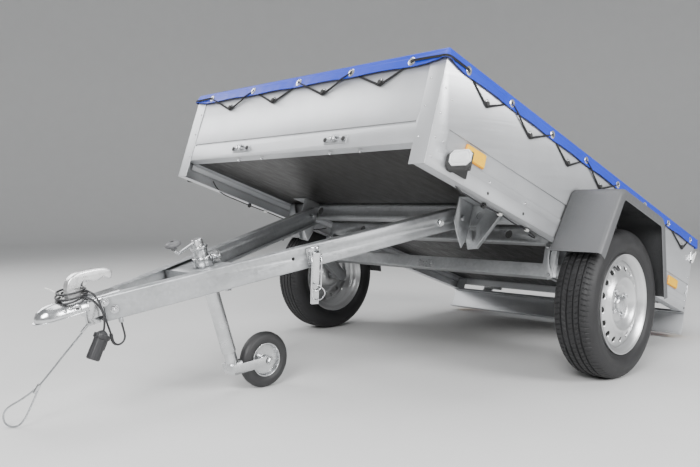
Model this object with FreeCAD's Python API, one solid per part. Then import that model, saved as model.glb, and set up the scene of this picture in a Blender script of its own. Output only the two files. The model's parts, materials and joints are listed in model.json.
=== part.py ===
import FreeCAD, Part

import math
import os

from FreeCAD import Placement, Rotation, Vector

# Single-axle tipping box trailer, standing on its jockey wheel with the bed tipped back.
# Units are millimetres.  X points to the trailer's left, Y to its rear and Z up.
# Bed pieces are drawn in the bed frame: origin on the wheel axis, Y along the floor, Z square to it.
# Drawbar pieces are drawn in the drawbar frame: Y runs back from the beams' front ends, Z is square
# to the beams and zero at their underside.

# Attitude in degrees
BED_TILT = 18.64
DRAWBAR_PITCH = 11.85

# Shared clearances and stock
SEAT_GAP = 0.3
RUN_GAP = 0.5
PIN_GAP = 0.1
OVERRUN = 2.0
SHEET = 2.0
SECTION_WALL = 3.0
BOLT_DIAMETER = 12.0
BOLT_HEAD_DIAMETER = 19.0
BOLT_HEAD_HEIGHT = 8.0

# Box width, which the axle, the wheels and the drawbar's spread follow
BOX_WIDTH = 1352.0
HALF_WIDTH = BOX_WIDTH / 2

# Wheels
TYRE_DIAMETER = 547.0
TYRE_WIDTH = 156.0
TYRE_SECTION = 108.5
TYRE_WALL = 9.0
TREAD_WIDTH = 118.0
WHEEL_RADIUS = TYRE_DIAMETER / 2
BEAD_DIAMETER = TYRE_DIAMETER - TYRE_SECTION * 2
RIM_FLANGE_RISE = 17.5
RIM_FLANGE_DIAMETER = BEAD_DIAMETER + RIM_FLANGE_RISE * 2
RIM_INNER_WIDTH = 114.0
RIM_WELL_DEPTH = BEAD_DIAMETER * 0.0485
RIM_WALL = 4.0
RIM_LIP = 11.0
WHEEL_SIDE_GAP = 19.0
WHEEL_PLANE = HALF_WIDTH + WHEEL_SIDE_GAP + TYRE_WIDTH / 2
WHEEL_OFFSET = 30.0
DISC_DISH = 16.0
VENT_COUNT = 16
VENT_DIAMETER = BEAD_DIAMETER * 0.0606
VENT_CIRCLE = BEAD_DIAMETER * 0.794
WHEEL_BOLT_COUNT = 4
WHEEL_BOLT_CIRCLE = 98.0
HUB_DIAMETER = 128.0
HUB_DEPTH = 58.0
HUB_CAP_DIAMETER = 56.0
HUB_CAP_HEIGHT = 26.0
STUB_DIAMETER = 34.0

# Box
BOX_FRONT = 1036.0
BOX_REAR = 968.0
WALL_TOP = 528.7
FLOOR_UNDERSIDE = 233.0
FLOOR_THICKNESS = 9.0
SIDE_BOTTOM = 164.0
SIDE_FLANGE = 44.0
SIDE_POST = 62.0
TOP_FOLD = 22.0
BAND_LOW = 239.0
BAND_HIGH = 301.0
BAND_DEPTH = 4.0
BAND_SETBACK = 78.0
FRONT_BEAD = 300.0
FRONT_BEAD_HEIGHT = 8.0
FRONT_BEAD_DEPTH = 3.0
FLOOR_LEDGE = 40.0

# Chassis under the floor
CROSS_MEMBER_FACE = 452.0
CROSS_MEMBER_HEIGHT = 63.0
CROSS_MEMBER_FLANGE = 40.0
CROSS_MEMBER_LIP = 12.0
AXLE_TUBE_SIZE = 50.0
AXLE_TUBE_WALL = 4.0
AXLE_TUBE_SETBACK = 26.0
AXLE_LEAD = 150.0
AXLE_RISE = 66.5
AXLE_HANGER_SETBACK = 61.0
AXLE_HANGER_WIDTH = 60.0
AXLE_STRAP_WIDTH = 20.0
AXLE_STRAP = 4.0
ARM_THICKNESS = 28.0
ARM_BOSS = 62.0
ARM_END_BOSS = 52.0
ARM_SHAFT = 34.0
ARM_SHAFT_LENGTH = 60.0

# Pivot between bed and drawbar, in the bed frame
PIVOT_FORWARD = 500.0
PIVOT_RISE = 163.2
EAR_THICKNESS = 5.0
EAR_GAP = 5.0
GUSSET_THICKNESS = 3.0
GUSSET_REACH = 168.0
GUSSET_TIP = 60.0
GUSSET_FOLD = 16.0
GUSSET_SLOT_TOP = 146.0
GUSSET_SLOT_BOTTOM = 92.0
GUSSET_SLOT_WIDTH = 13.0
WEB_HOLE_DIAMETER = 34.0

# Drawbar, in the drawbar frame
BEAM_HEIGHT = 74.0
BEAM_FLANGE = 38.0
BEAM_WALL = 3.0
BEAM_FRONT_OFFSET = 41.0
BEAM_PIVOT_SETBACK = 268.0
BEAM_PIVOT_OFFSET = HALF_WIDTH - BEAM_PIVOT_SETBACK
BEAM_TO_PIVOT = 1205.0
BEAM_HOLE_PLACE = 575.0
BEAM_HOLE_HEIGHT = 43.0

# Coupling
COUPLING_REACH = 186.0
COUPLING_TAIL = 60.0
COUPLING_HALF_WIDTH = 36.0
COUPLING_WALL = 4.0
COUPLING_SHANK_BOTTOM = 22.0
COUPLING_CROWN = 92.0
COUPLING_AXIS = 54.0
COUPLING_SHANK_TOP = 80.0
COUPLING_RIM = 46.0
COUPLING_RIM_WIDTH = 4.0
COUPLING_BOLT_PLACE = 21.0
BALL_DIAMETER = 50.0
BALL_PLACE = 140.0
BALL_HEIGHT = 56.0
HANDLE_ROOT = 84.0
HANDLE_LENGTH = 142.0
HANDLE_RISE = 68.0
HANDLE_WIDTH = 30.0

# Jockey wheel
JOCKEY_PLACE = 375.0
JOCKEY_LEAN = 5.6
JOCKEY_TUBE_DIAMETER = 48.0
JOCKEY_TUBE_WALL = 2.5
JOCKEY_TUBE_TOP = 131.0
JOCKEY_TUBE_BOTTOM = -248.0
JOCKEY_CAP_TOP = 156.0
JOCKEY_CAP_DIAMETER = 36.0
JOCKEY_COLLAR_DIAMETER = 58.0
JOCKEY_COLLAR_HEIGHT = 7.0
CLAMP_DIAMETER = 64.0
CLAMP_HEIGHT = 34.0
CLAMP_EAR = 30.0
LEG_DIAMETER = 42.0
LEG_WALL = 3.0
LEG_TOP = -60.0
LEG_BOTTOM = -323.0
SPINDLE_DIAMETER = 14.0
SPINDLE_BOTTOM = -220.0
NUT_HEIGHT = 20.0
NUT_FLANGE = 4.0
FORK_TRAIL = 125.0
FORK_PLATE = 4.0
FORK_ROOT_HEIGHT = 35.0
FORK_END_RADIUS = 16.0
JOCKEY_WHEEL_DIAMETER = 196.0
JOCKEY_WHEEL_WIDTH = 45.0
JOCKEY_RIM_DIAMETER = 118.0
JOCKEY_RIM_WALL = 4.0
JOCKEY_AXLE_DIAMETER = 16.0
CRANK_ROD = 10.0
CRANK_FORWARD = 76.0
CRANK_HEIGHT = 147.0
CRANK_DROP = 14.0
KNOB_DIAMETER = 50.0
KNOB_HEIGHT = 26.0

# Cross piece that carries the jockey wheel
NOSE_PLATE_FRONT = 300.0
NOSE_PLATE_REAR = 432.0
NOSE_PLATE_HEIGHT = 62.0
NOSE_PLATE_WALL = 4.0
NOSE_PLATE_DROP = 50.0

# Toggle latches that hold the bed down
TOGGLE_PLACE = 642.0
TOGGLE_WIDTH = 46.0
TOGGLE_TOP = 68.0
TOGGLE_PLATE = 4.0
TOGGLE_LEVER_BOTTOM = -119.0
TOGGLE_LEVER_WIDTH = 24.0
TOGGLE_LEVER_DEPTH = 12.0
TOGGLE_STANDOFF = 14.0
BAIL_ROD = 5.0
BAIL_WIDTH = 34.0
BAIL_HEIGHT = 95.0
HOOK_OFFSET = 265.0
HOOK_HEIGHT = 264.0
HOOK_PLATE_LENGTH = 107.0
HOOK_PLATE_HEIGHT = 26.0
HOOK_REACH = 16.0

# Mudguards
GUARD_SIDE_GAP = 19.0
GUARD_OUTER = WHEEL_PLANE + TYRE_WIDTH / 2 + GUARD_SIDE_GAP
GUARD_WALL = 3.0
GUARD_FRONT_GAP = 22.5
GUARD_REAR_GAP = 26.5
GUARD_TOP_GAP = 107.5
GUARD_FRONT = WHEEL_RADIUS + GUARD_FRONT_GAP
GUARD_REAR = WHEEL_RADIUS + GUARD_REAR_GAP
GUARD_TOP = WHEEL_RADIUS + GUARD_TOP_GAP
GUARD_FRONT_FOOT = 113.0
GUARD_REAR_FOOT = 100.0
GUARD_FRONT_SHOULDER = WHEEL_RADIUS * 0.775
GUARD_REAR_SHOULDER = WHEEL_RADIUS * 0.614
GUARD_SHOULDER_RADIUS = 55.0
GUARD_LIP = 42.0
GUARD_INNER_LIP = 16.0

# Lamps
MARKER_LENGTH = 110.0
MARKER_SETBACK = 84.0
MARKER_LOW = 175.0
MARKER_HIGH = 238.0
MARKER_REACH = 92.0
MARKER_LENS_DEPTH = 18.0
LAMP_BOARD_BOTTOM = 58.0
LAMP_BOARD_TOP = 174.0
LAMP_BOARD_FLANGE = 24.0
REAR_LAMP_SETBACK = 23.0
REAR_LAMP_LENGTH = 210.0
REAR_LAMP_HEIGHT = 88.0
REAR_LAMP_DEPTH = 42.0

# Tailgate
GATE_SETBACK = 36.0
GATE_BOTTOM = 200.0
GATE_TOP = 522.0
GATE_FOLD = 18.0
GATE_GAP = 1.0
HINGE_HEIGHT = 192.0
HINGE_SETBACK = 10.0
HINGE_DIAMETER = 12.0
HINGE_LENGTH = 60.0
HINGE_OFFSET = 420.0
HINGE_LEAF = 4.0

# Cover
COVER_CLOTH = 2.0
COVER_SIDE_GAP = 3.0
COVER_TOP = 531.0
COVER_HEM = 483.5
COVER_REAR_REACH = 24.0

# Electric lead and safety rope
LEAD_DIAMETER = 6.0
LEAD_GLAND = 14.0
LEAD_GLAND_HEIGHT = 12.0
COIL_PLACE = 70.0
COIL_OUTER = 45.0
COIL_INNER = 32.0
COIL_BOTTOM = 93.5
COIL_HEIGHT = 18.0
PLUG_DIAMETER = 40.0
PLUG_LENGTH = 85.0
PLUG_LEAN = 36.0
PLUG_COLLAR = 46.0
PLUG_COLLAR_HEIGHT = 14.0
ROPE_DIAMETER = 5.0
ROPE_LUG_WIDTH = 14.0
ROPE_LUG_FRONT = 44.0
ROPE_LUG_REAR = 4.0

# Routes of the lead in the drawbar frame and of the rope over the ground, chosen by hand
LEAD_FEED_ROUTE = (
    (46, 38, -12), (47, 39, -36), (46, 40, -61), (47, 27, -74), (49, 9, -74), (50, -3, -61),
    (51, -3, -34), (52, -7, -6), (53, -11, 26), (53, -20, 57), (50, -37, 83), (39, -61, 99),
)
LEAD_DROP_ROUTE = (
    (31, -53, 104), (47, -41, 107), (61, -31, 96), (68, -24, 72), (70, -20, 45), (69, -20, 19),
    (68, -24, -3), (67, -29, -15),
)
ROPE_ROUTE = (
    (0, -1634, 294), (-18, -1661, 254), (-48, -1692, 203), (-80, -1719, 152), (-108, -1741, 112),
    (-120, -1761, 94), (-133, -1784, 76), (-151, -1807, 61), (-158, -1822, 42),
    (-151, -1824, 18), (-135, -1813, 4), (-118, -1794, 6), (-111, -1779, 24), (-109, -1765, 52),
    (-107, -1753, 78), (-106, -1743, 100),
)

# Values worked out from the above

BEAM_ANGLE = math.atan2(BEAM_PIVOT_OFFSET - BEAM_FRONT_OFFSET, BEAM_TO_PIVOT)
BEAM_MIDDLE = BEAM_HEIGHT / 2
GATE_FACE = BOX_REAR + GATE_GAP
HINGE_PLACE = BOX_REAR + HINGE_SETBACK


def block(x_span, y_span, z_span):
    """Box between two values on each axis."""
    low = Vector(min(x_span), min(y_span), min(z_span))
    high = Vector(max(x_span), max(y_span), max(z_span))
    size = high - low
    return Part.makeBox(size.x, size.y, size.z, low)


def outline_face(points, at, normal):
    """Flat face from an outline in the plane square to the named axis."""
    lay = {
        "x": lambda a, b: Vector(at, a, b),
        "y": lambda a, b: Vector(a, at, b),
        "z": lambda a, b: Vector(a, b, at),
    }[normal]
    corners = [lay(a, b) for a, b in points]
    return Part.Face(Part.makePolygon(corners + corners[:1]))


def prism(points, span, normal):
    """Solid with a constant outline along the named axis."""
    low, high = min(span), max(span)
    unit = {"x": Vector(1, 0, 0), "y": Vector(0, 1, 0), "z": Vector(0, 0, 1)}[normal]
    return outline_face(points, low, normal).extrude(unit * (high - low))


def bent_sheet(points, thickness):
    """Closed outline of a folded sheet: the given line and its parallel on the left."""
    sides = []
    for (a0, b0), (a1, b1) in zip(points, points[1:]):
        length = math.hypot(a1 - a0, b1 - b0)
        sides.append(((b0 - b1) / length, (a1 - a0) / length))
    shifted = []
    for index, (a, b) in enumerate(points):
        before = sides[max(index - 1, 0)]
        after = sides[min(index, len(sides) - 1)]
        lean = 1 + before[0] * after[0] + before[1] * after[1]
        shifted.append((
            a + thickness * (before[0] + after[0]) / lean,
            b + thickness * (before[1] + after[1]) / lean,
        ))
    return list(points) + shifted[::-1]


def rod_x(y, z, radius, span):
    """Round bar along X."""
    low, high = min(span), max(span)
    return Part.makeCylinder(radius, high - low, Vector(low, y, z), Vector(1, 0, 0))


def rod_y(x, z, radius, span):
    """Round bar along Y."""
    low, high = min(span), max(span)
    return Part.makeCylinder(radius, high - low, Vector(x, low, z), Vector(0, 1, 0))


def rod_z(x, y, radius, span):
    """Round bar along Z."""
    low, high = min(span), max(span)
    return Part.makeCylinder(radius, high - low, Vector(x, y, low), Vector(0, 0, 1))


def joined(*shapes):
    """One solid from shapes that overlap or meet."""
    whole = shapes[0].fuse(list(shapes[1:])) if len(shapes) > 1 else shapes[0]
    return whole.removeSplitter()


def mirrored(shape):
    """The same piece on the right-hand side."""
    return shape.mirror(Vector(0, 0, 0), Vector(1, 0, 0))


def revolved(points, centre):
    """Ring about an X axis through centre; points are (x from the centre plane, radius)."""
    corners = [centre + Vector(x, 0, r) for x, r in points]
    face = Part.Face(Part.makePolygon(corners + corners[:1]))
    return face.revolve(centre, Vector(1, 0, 0), 360)


def rounded(shape, radius, picks):
    """Fillet on the edges that picks accepts."""
    return shape.makeFillet(radius, [edge for edge in shape.Edges if picks(edge)])


def runs_along(edge, axis):
    """True for a straight edge parallel to an axis."""
    if edge.Curve.TypeId != "Part::GeomLine":
        return False
    return abs(abs(edge.Curve.Direction.dot(axis)) - 1) < 1e-6


def cord_tube(points, diameter):
    """Tube along straight runs joined by tangent arcs, with the smallest arc radius."""
    knots = [Vector(*point) for point in points]
    edges, radii, start = [], [], knots[0]
    for before, corner, after in zip(knots, knots[1:], knots[2:]):
        back, ahead = before - corner, after - corner
        turn = math.pi - back.getAngle(ahead)
        trim = 0.45 * min(back.Length, ahead.Length)
        radii.append(trim / math.tan(turn / 2))
        back.normalize()
        ahead.normalize()
        first, last = corner + back * trim, corner + ahead * trim
        inward = (back + ahead).normalize()
        centre_distance = math.hypot(radii[-1], trim)
        middle = corner + inward * (centre_distance - radii[-1])
        edges.append(Part.makeLine(start, first))
        edges.append(Part.Arc(first, middle, last).toShape())
        start = last
    edges.append(Part.makeLine(start, knots[-1]))
    spine = Part.Wire(edges)
    circle = Part.makeCircle(diameter / 2, knots[0], knots[1] - knots[0])
    tube = spine.makePipeShell([Part.Wire(circle)], True, False)
    share = tube.Volume / (math.pi * diameter**2 / 4 * spine.Length)
    print(f"cord radii {min(radii):.1f}, length {spine.Length:.1f}, volume share {share:.4f}")
    return tube


def bed_placement():
    """Bed frame to ground frame, whose origin is on the floor under the wheel axis."""
    return Placement(Vector(0, 0, WHEEL_RADIUS), Rotation(Vector(1, 0, 0), -BED_TILT))


def pivot_point():
    """Tilt axis over the ground."""
    return bed_placement().multVec(Vector(0, -PIVOT_FORWARD, PIVOT_RISE))


def drawbar_placement():
    """Drawbar frame to ground frame; the beams' ends sit on the tilt axis."""
    turn = Rotation(Vector(1, 0, 0), DRAWBAR_PITCH)
    return Placement(pivot_point() - turn.multVec(Vector(0, BEAM_TO_PIVOT, BEAM_MIDDLE)), turn)


def jockey_lean(turn_deg):
    """Turn about the point where the jockey tube passes through the top of its plate."""
    centre = Vector(0, JOCKEY_PLACE, NOSE_PLATE_HEIGHT)
    return Placement(Vector(), Rotation(Vector(1, 0, 0), turn_deg), centre)


def jockey_placement():
    """Jockey frame to ground frame: the drawbar frame with its top leaned forwards."""
    return drawbar_placement().multiply(jockey_lean(JOCKEY_LEAN))


def jockey_axle_height():
    """Height of the jockey wheel's axle in the jockey frame, where its tyre meets the floor."""
    pitch = math.radians(DRAWBAR_PITCH + JOCKEY_LEAN)
    base = jockey_placement().Base
    rise = JOCKEY_WHEEL_DIAMETER / 2 - base.z - (JOCKEY_PLACE + FORK_TRAIL) * math.sin(pitch)
    return rise / math.cos(pitch)


def tyre():
    """Left road tyre about the wheel axis, open at the beads."""
    tread, crown, wide = TREAD_WIDTH / 2, TYRE_DIAMETER / 2, TYRE_WIDTH / 2
    bead, seat = RIM_INNER_WIDTH / 2 - SEAT_GAP, BEAD_DIAMETER / 2 + SEAT_GAP
    section, lip = crown - seat, RIM_FLANGE_DIAMETER / 2
    flange = bead + RIM_LIP / 3
    outer_shares = ((1.0, 0.19), (1.15, 0.32), (1.3, 0.50), (1.22, 0.72), (1.05, 0.86))
    half = wide / 1.3
    right = [(half * across, seat + section * up) for across, up in outer_shares]
    seated = [(bead, seat), (bead, seat + RIM_WALL), (flange, lip + SEAT_GAP)]
    outer = seated + right + [(tread, crown - RUN_GAP * 4), (tread / 2, crown)]
    outer += [(-x, r) for x, r in outer[::-1]]
    hollow = [(bead - TYRE_WALL, seat - OVERRUN)]
    hollow += [(x - TYRE_WALL, r) for x, r in right[:3]]
    hollow += [(right[3][0] - TYRE_WALL, right[3][1] - TYRE_WALL / 2)]
    hollow += [(tread - TYRE_WALL, crown - TYRE_WALL * 1.4)]
    hollow += [(-x, r) for x, r in hollow[::-1]]
    centre = Vector(WHEEL_PLANE, 0, 0)
    return revolved(outer, centre).cut(revolved(hollow, centre))


def rim_profile():
    """Half outline of the rolled rim from the outer lip to the well, as (x, radius)."""
    seat, lip = BEAD_DIAMETER / 2, RIM_FLANGE_DIAMETER / 2
    edge, well = RIM_INNER_WIDTH / 2, BEAD_DIAMETER / 2 - RIM_WELL_DEPTH
    outside = [
        (edge + RIM_LIP, lip), (edge + RIM_LIP / 3, lip), (edge, seat + RIM_WALL),
        (edge, seat), (edge * 0.6, seat), (edge * 0.4, well),
    ]
    inside = [
        (edge * 0.4 + RIM_WALL / 2, well - RIM_WALL), (edge * 0.6 + RIM_WALL / 2, seat - RIM_WALL),
        (edge + RIM_WALL, seat - RIM_WALL), (edge + RIM_WALL, lip - RIM_WALL * 1.5),
        (edge + RIM_LIP, lip - RIM_WALL),
    ]
    return outside, inside


def wheel_disc():
    """Dished disc with its ring of vents, hub and cap, on the wheel's centre plane."""
    well = BEAD_DIAMETER / 2 - RIM_WELL_DEPTH - RIM_WALL / 2
    crest, hub = VENT_CIRCLE / 2 - VENT_DIAMETER, HUB_DIAMETER / 2
    foot = VENT_CIRCLE / 2 + VENT_DIAMETER * 0.65
    face, bore = WHEEL_OFFSET, HUB_CAP_DIAMETER / 2
    line = [
        (0, well), (RIM_WALL, well), (face, foot),
        (face + DISC_DISH, crest), (face + DISC_DISH / 2, hub + RIM_WALL), (face, hub),
        (face, bore), (face - RIM_WALL, bore), (face - RIM_WALL, hub + RIM_WALL),
        (face + DISC_DISH / 2 - RIM_WALL, hub + RIM_WALL * 2),
        (face + DISC_DISH - RIM_WALL, crest - RIM_WALL / 2),
        (face - RIM_WALL * 1.5, foot),
        (0, well - RIM_WALL * 2),
    ]
    centre = Vector(WHEEL_PLANE, 0, 0)
    disc = revolved(line, centre)
    vents, bolts = [], []
    for index in range(VENT_COUNT):
        turn = 2 * math.pi * index / VENT_COUNT
        y, z = VENT_CIRCLE / 2 * math.cos(turn), VENT_CIRCLE / 2 * math.sin(turn)
        vents.append(rod_x(y, z, VENT_DIAMETER / 2, (WHEEL_PLANE, WHEEL_PLANE + BEAD_DIAMETER / 2)))
    for index in range(WHEEL_BOLT_COUNT):
        turn = 2 * math.pi * (index + 0.5) / WHEEL_BOLT_COUNT
        y, z = WHEEL_BOLT_CIRCLE / 2 * math.cos(turn), WHEEL_BOLT_CIRCLE / 2 * math.sin(turn)
        start = WHEEL_PLANE + face - RIM_WALL / 2
        bolts.append(rod_x(y, z, BOLT_HEAD_DIAMETER / 2, (start, start + BOLT_HEAD_HEIGHT * 1.5)))
    inner = WHEEL_PLANE + face - RIM_WALL
    drum = rod_x(0, 0, hub - RIM_WALL, (inner - HUB_DEPTH, inner))
    cap = rod_x(0, 0, bore, (inner - RIM_WALL, inner + HUB_CAP_HEIGHT))
    cap = rounded(cap, bore / 3, lambda edge: edge.BoundBox.XMin > inner + HUB_CAP_HEIGHT / 2)
    bore_depth = HUB_DEPTH - RIM_WALL * 2
    stub_hole = rod_x(
        0, 0, STUB_DIAMETER / 2 + PIN_GAP, (inner - HUB_DEPTH - OVERRUN, inner - HUB_DEPTH + bore_depth)
    )
    return joined(disc.cut(vents), drum, cap, *bolts).cut(stub_hole)


def rim():
    """Left wheel without its tyre."""
    outside, inside = rim_profile()
    mirrored_out = [(-x, r) for x, r in outside[::-1]]
    mirrored_in = [(-x, r) for x, r in inside[::-1]]
    barrel = revolved(outside + mirrored_out + mirrored_in + inside, Vector(WHEEL_PLANE, 0, 0))
    return joined(barrel, wheel_disc())


def side_panel():
    """Left side wall with its sunk band, end posts, folded edges and floor ledge."""
    line = [
        (HALF_WIDTH - SIDE_FLANGE, SIDE_BOTTOM), (HALF_WIDTH, SIDE_BOTTOM),
        (HALF_WIDTH, WALL_TOP), (HALF_WIDTH - TOP_FOLD, WALL_TOP), (
            HALF_WIDTH - TOP_FOLD, WALL_TOP - TOP_FOLD / 2
        ),
    ]
    skin = prism(bent_sheet(line, SHEET), (-BOX_FRONT, BOX_REAR), "y")
    start = -BOX_FRONT + BAND_SETBACK
    sunk = HALF_WIDTH - BAND_DEPTH
    trough = block((sunk, HALF_WIDTH + OVERRUN), (start, BOX_REAR + OVERRUN), (BAND_LOW, BAND_HIGH))
    backing = block(
        (sunk - SHEET, sunk), (start - SHEET, BOX_REAR), (BAND_LOW - SHEET, BAND_HIGH + SHEET)
    )
    rim_top = block((sunk - SHEET, HALF_WIDTH), (start - SHEET, BOX_REAR), (BAND_HIGH, BAND_HIGH + SHEET))
    rim_low = block((sunk - SHEET, HALF_WIDTH), (start - SHEET, BOX_REAR), (BAND_LOW - SHEET, BAND_LOW))
    rim_end = block(
        (sunk - SHEET, HALF_WIDTH), (start - SHEET, start), (BAND_LOW - SHEET, BAND_HIGH + SHEET)
    )
    post = (HALF_WIDTH - SIDE_POST, HALF_WIDTH)
    front_post = block(post, (-BOX_FRONT, -BOX_FRONT + SHEET), (SIDE_BOTTOM, WALL_TOP))
    rear_post = block(post, (BOX_REAR - SHEET, BOX_REAR), (SIDE_BOTTOM, WALL_TOP))
    ledge_line = [
        (HALF_WIDTH - SHEET - BAND_DEPTH - FLOOR_LEDGE, FLOOR_UNDERSIDE + SHEET),
        (HALF_WIDTH - SHEET - BAND_DEPTH - SHEET, FLOOR_UNDERSIDE + SHEET),
        (HALF_WIDTH - SHEET - BAND_DEPTH - SHEET, FLOOR_UNDERSIDE - FLOOR_LEDGE / 2),
        (HALF_WIDTH - SHEET / 2, FLOOR_UNDERSIDE - FLOOR_LEDGE / 2),
    ]
    ledge_span = (-BOX_FRONT + SIDE_FLANGE + SHEET * 2, BOX_REAR - SHEET)
    ledge = prism(bent_sheet(ledge_line, -SHEET), ledge_span, "y")
    return joined(skin.cut(trough), backing, rim_top, rim_low, rim_end, front_post, rear_post, ledge)


def front_wall():
    """Front wall behind the side walls' posts, with its bead, folds and the two latch hooks."""
    face = -BOX_FRONT + SHEET
    line = [
        (face + SIDE_FLANGE, FLOOR_UNDERSIDE), (face, FLOOR_UNDERSIDE),
        (face, WALL_TOP), (face + TOP_FOLD, WALL_TOP), (face + TOP_FOLD, WALL_TOP - TOP_FOLD / 2),
    ]
    span = (-HALF_WIDTH + TOP_FOLD + SHEET, HALF_WIDTH - TOP_FOLD - SHEET)
    wall = prism(bent_sheet(line, -SHEET), span, "x")
    bead_half = HALF_WIDTH - SIDE_POST - FRONT_BEAD_HEIGHT
    low, high = FRONT_BEAD - FRONT_BEAD_HEIGHT / 2, FRONT_BEAD + FRONT_BEAD_HEIGHT / 2
    groove = block((-bead_half, bead_half), (face - OVERRUN, face + FRONT_BEAD_DEPTH), (low, high))
    back = block(
        (-bead_half - SHEET, bead_half + SHEET), (face, face + FRONT_BEAD_DEPTH + SHEET),
        (low - SHEET, high + SHEET),
    )
    hooks = []
    for side in (-1, 1):
        place = side * HOOK_OFFSET
        plate = block(
            (place - HOOK_PLATE_LENGTH / 2, place + HOOK_PLATE_LENGTH / 2), (face - SHEET, face),
            (HOOK_HEIGHT - HOOK_PLATE_HEIGHT / 2, HOOK_HEIGHT + HOOK_PLATE_HEIGHT / 2),
        )
        lip = [
            (face, HOOK_HEIGHT), (face - HOOK_REACH, HOOK_HEIGHT),
            (face - HOOK_REACH, HOOK_HEIGHT + HOOK_PLATE_HEIGHT / 2),
        ]
        half = TOGGLE_LEVER_WIDTH / 2
        hooks += [plate, prism(bent_sheet(lip, SECTION_WALL), (place - half, place + half), "x")]
        for bolt in (-1, 1):
            at = place + bolt * (HOOK_PLATE_LENGTH / 2 - BOLT_HEAD_DIAMETER / 2)
            hooks.append(rod_y(at, HOOK_HEIGHT, BOLT_HEAD_DIAMETER / 3, (face - BOLT_HEAD_HEIGHT, face)))
    return joined(joined(wall, back).cut(groove), *hooks)


def floor_board():
    """Plywood floor, resting on the front wall's lip and the side ledges."""
    half = HALF_WIDTH - SHEET * 2 - BAND_DEPTH - SEAT_GAP
    low = FLOOR_UNDERSIDE + SHEET
    front = -BOX_FRONT + SHEET * 2 + SEAT_GAP
    return block((-half, half), (front, BOX_REAR - SHEET - SEAT_GAP), (low, low + FLOOR_THICKNESS))


def cross_member(face):
    """Folded channel under the floor, open to the rear, with a round hole over each beam's end."""
    top, bottom = FLOOR_UNDERSIDE + SHEET, FLOOR_UNDERSIDE - CROSS_MEMBER_HEIGHT
    line = [
        (face + CROSS_MEMBER_FLANGE, bottom + CROSS_MEMBER_LIP), (face + CROSS_MEMBER_FLANGE, bottom),
        (face, bottom), (face, top), (face + CROSS_MEMBER_FLANGE, top),
    ]
    half = HALF_WIDTH - SHEET - BAND_DEPTH - FLOOR_LEDGE - SEAT_GAP
    channel = prism(bent_sheet(line, -SECTION_WALL), (-half, half), "x")
    holes = [
        rod_y(
            side * BEAM_PIVOT_OFFSET, (top + bottom) / 2, WEB_HOLE_DIAMETER / 2,
            (face - SECTION_WALL - OVERRUN, face + SECTION_WALL + OVERRUN),
        )
        for side in (-1, 1)
    ]
    return channel.cut(holes)


def pivot_bracket():
    """Left hanger: an ear beside the beam, the pivot bolt and a pointed gusset before the channel."""
    inner = BEAM_PIVOT_OFFSET + BEAM_MIDDLE * math.tan(BEAM_ANGLE) + EAR_GAP
    face = -CROSS_MEMBER_FACE
    top, tip = FLOOR_UNDERSIDE, GUSSET_TIP
    radius = BEAM_MIDDLE + EAR_GAP
    ear = prism(
        [
            (-PIVOT_FORWARD - radius, top), (face, top), (face, tip + radius),
            (face - radius / 2, tip), (-PIVOT_FORWARD - radius / 3, tip + radius),
            (-PIVOT_FORWARD - radius, PIVOT_RISE - radius / 2),
        ],
        (inner, inner + EAR_THICKNESS), "x",
    )
    gusset = prism(
        [
            (inner, top), (inner + GUSSET_REACH, top), (inner + GUSSET_REACH / 2.6, tip + EAR_GAP),
            (inner + GUSSET_REACH / 9, tip), (inner, tip + radius),
        ],
        (face - GUSSET_THICKNESS, face), "y",
    )
    slot_top, slot_low, slot = GUSSET_SLOT_TOP, GUSSET_SLOT_BOTTOM, GUSSET_SLOT_WIDTH
    start = inner + EAR_THICKNESS + slot / 2
    hook = prism(
        [
            (start, slot_top), (start + slot * 2, slot_top), (start + slot * 2.6, slot_low),
            (start + slot * 1.6, slot_low), (start + slot, slot_top - slot), (start, slot_top - slot),
        ],
        (face - GUSSET_THICKNESS - OVERRUN, face + OVERRUN), "y",
    )
    hole = rod_y(
        inner + radius, PIVOT_RISE + BEAM_MIDDLE * 0.7, BOLT_HEAD_DIAMETER * 0.7,
        (face - GUSSET_THICKNESS - OVERRUN, face + OVERRUN),
    )
    edge_low = Vector(inner + GUSSET_REACH / 2.6, face, tip + EAR_GAP)
    edge_high = Vector(inner + GUSSET_REACH, face, top)
    along = edge_high - edge_low
    fold_face = Part.Face(Part.makePolygon([
        edge_low, edge_high, edge_high + Vector(0, -GUSSET_FOLD, 0),
        edge_low + Vector(0, -GUSSET_FOLD, 0), edge_low,
    ]))
    fold = fold_face.extrude(along.cross(Vector(0, 1, 0)).normalize() * GUSSET_THICKNESS)
    bolt = rod_x(
        -PIVOT_FORWARD, PIVOT_RISE, BOLT_DIAMETER / 2,
        (BEAM_PIVOT_OFFSET - BEAM_FLANGE / 2, inner + OVERRUN)
    )
    head = rod_x(
        -PIVOT_FORWARD, PIVOT_RISE, BOLT_HEAD_DIAMETER / 2,
        (inner + EAR_THICKNESS, inner + EAR_THICKNESS + BOLT_HEAD_HEIGHT),
    )
    foot = block(
        (inner, inner + GUSSET_REACH / 2), (-PIVOT_FORWARD - radius, face), (
            top - GUSSET_THICKNESS, top + SHEET
        )
    )
    return joined(ear, gusset.cut([hole, hook]), fold, bolt, head, foot)


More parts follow.
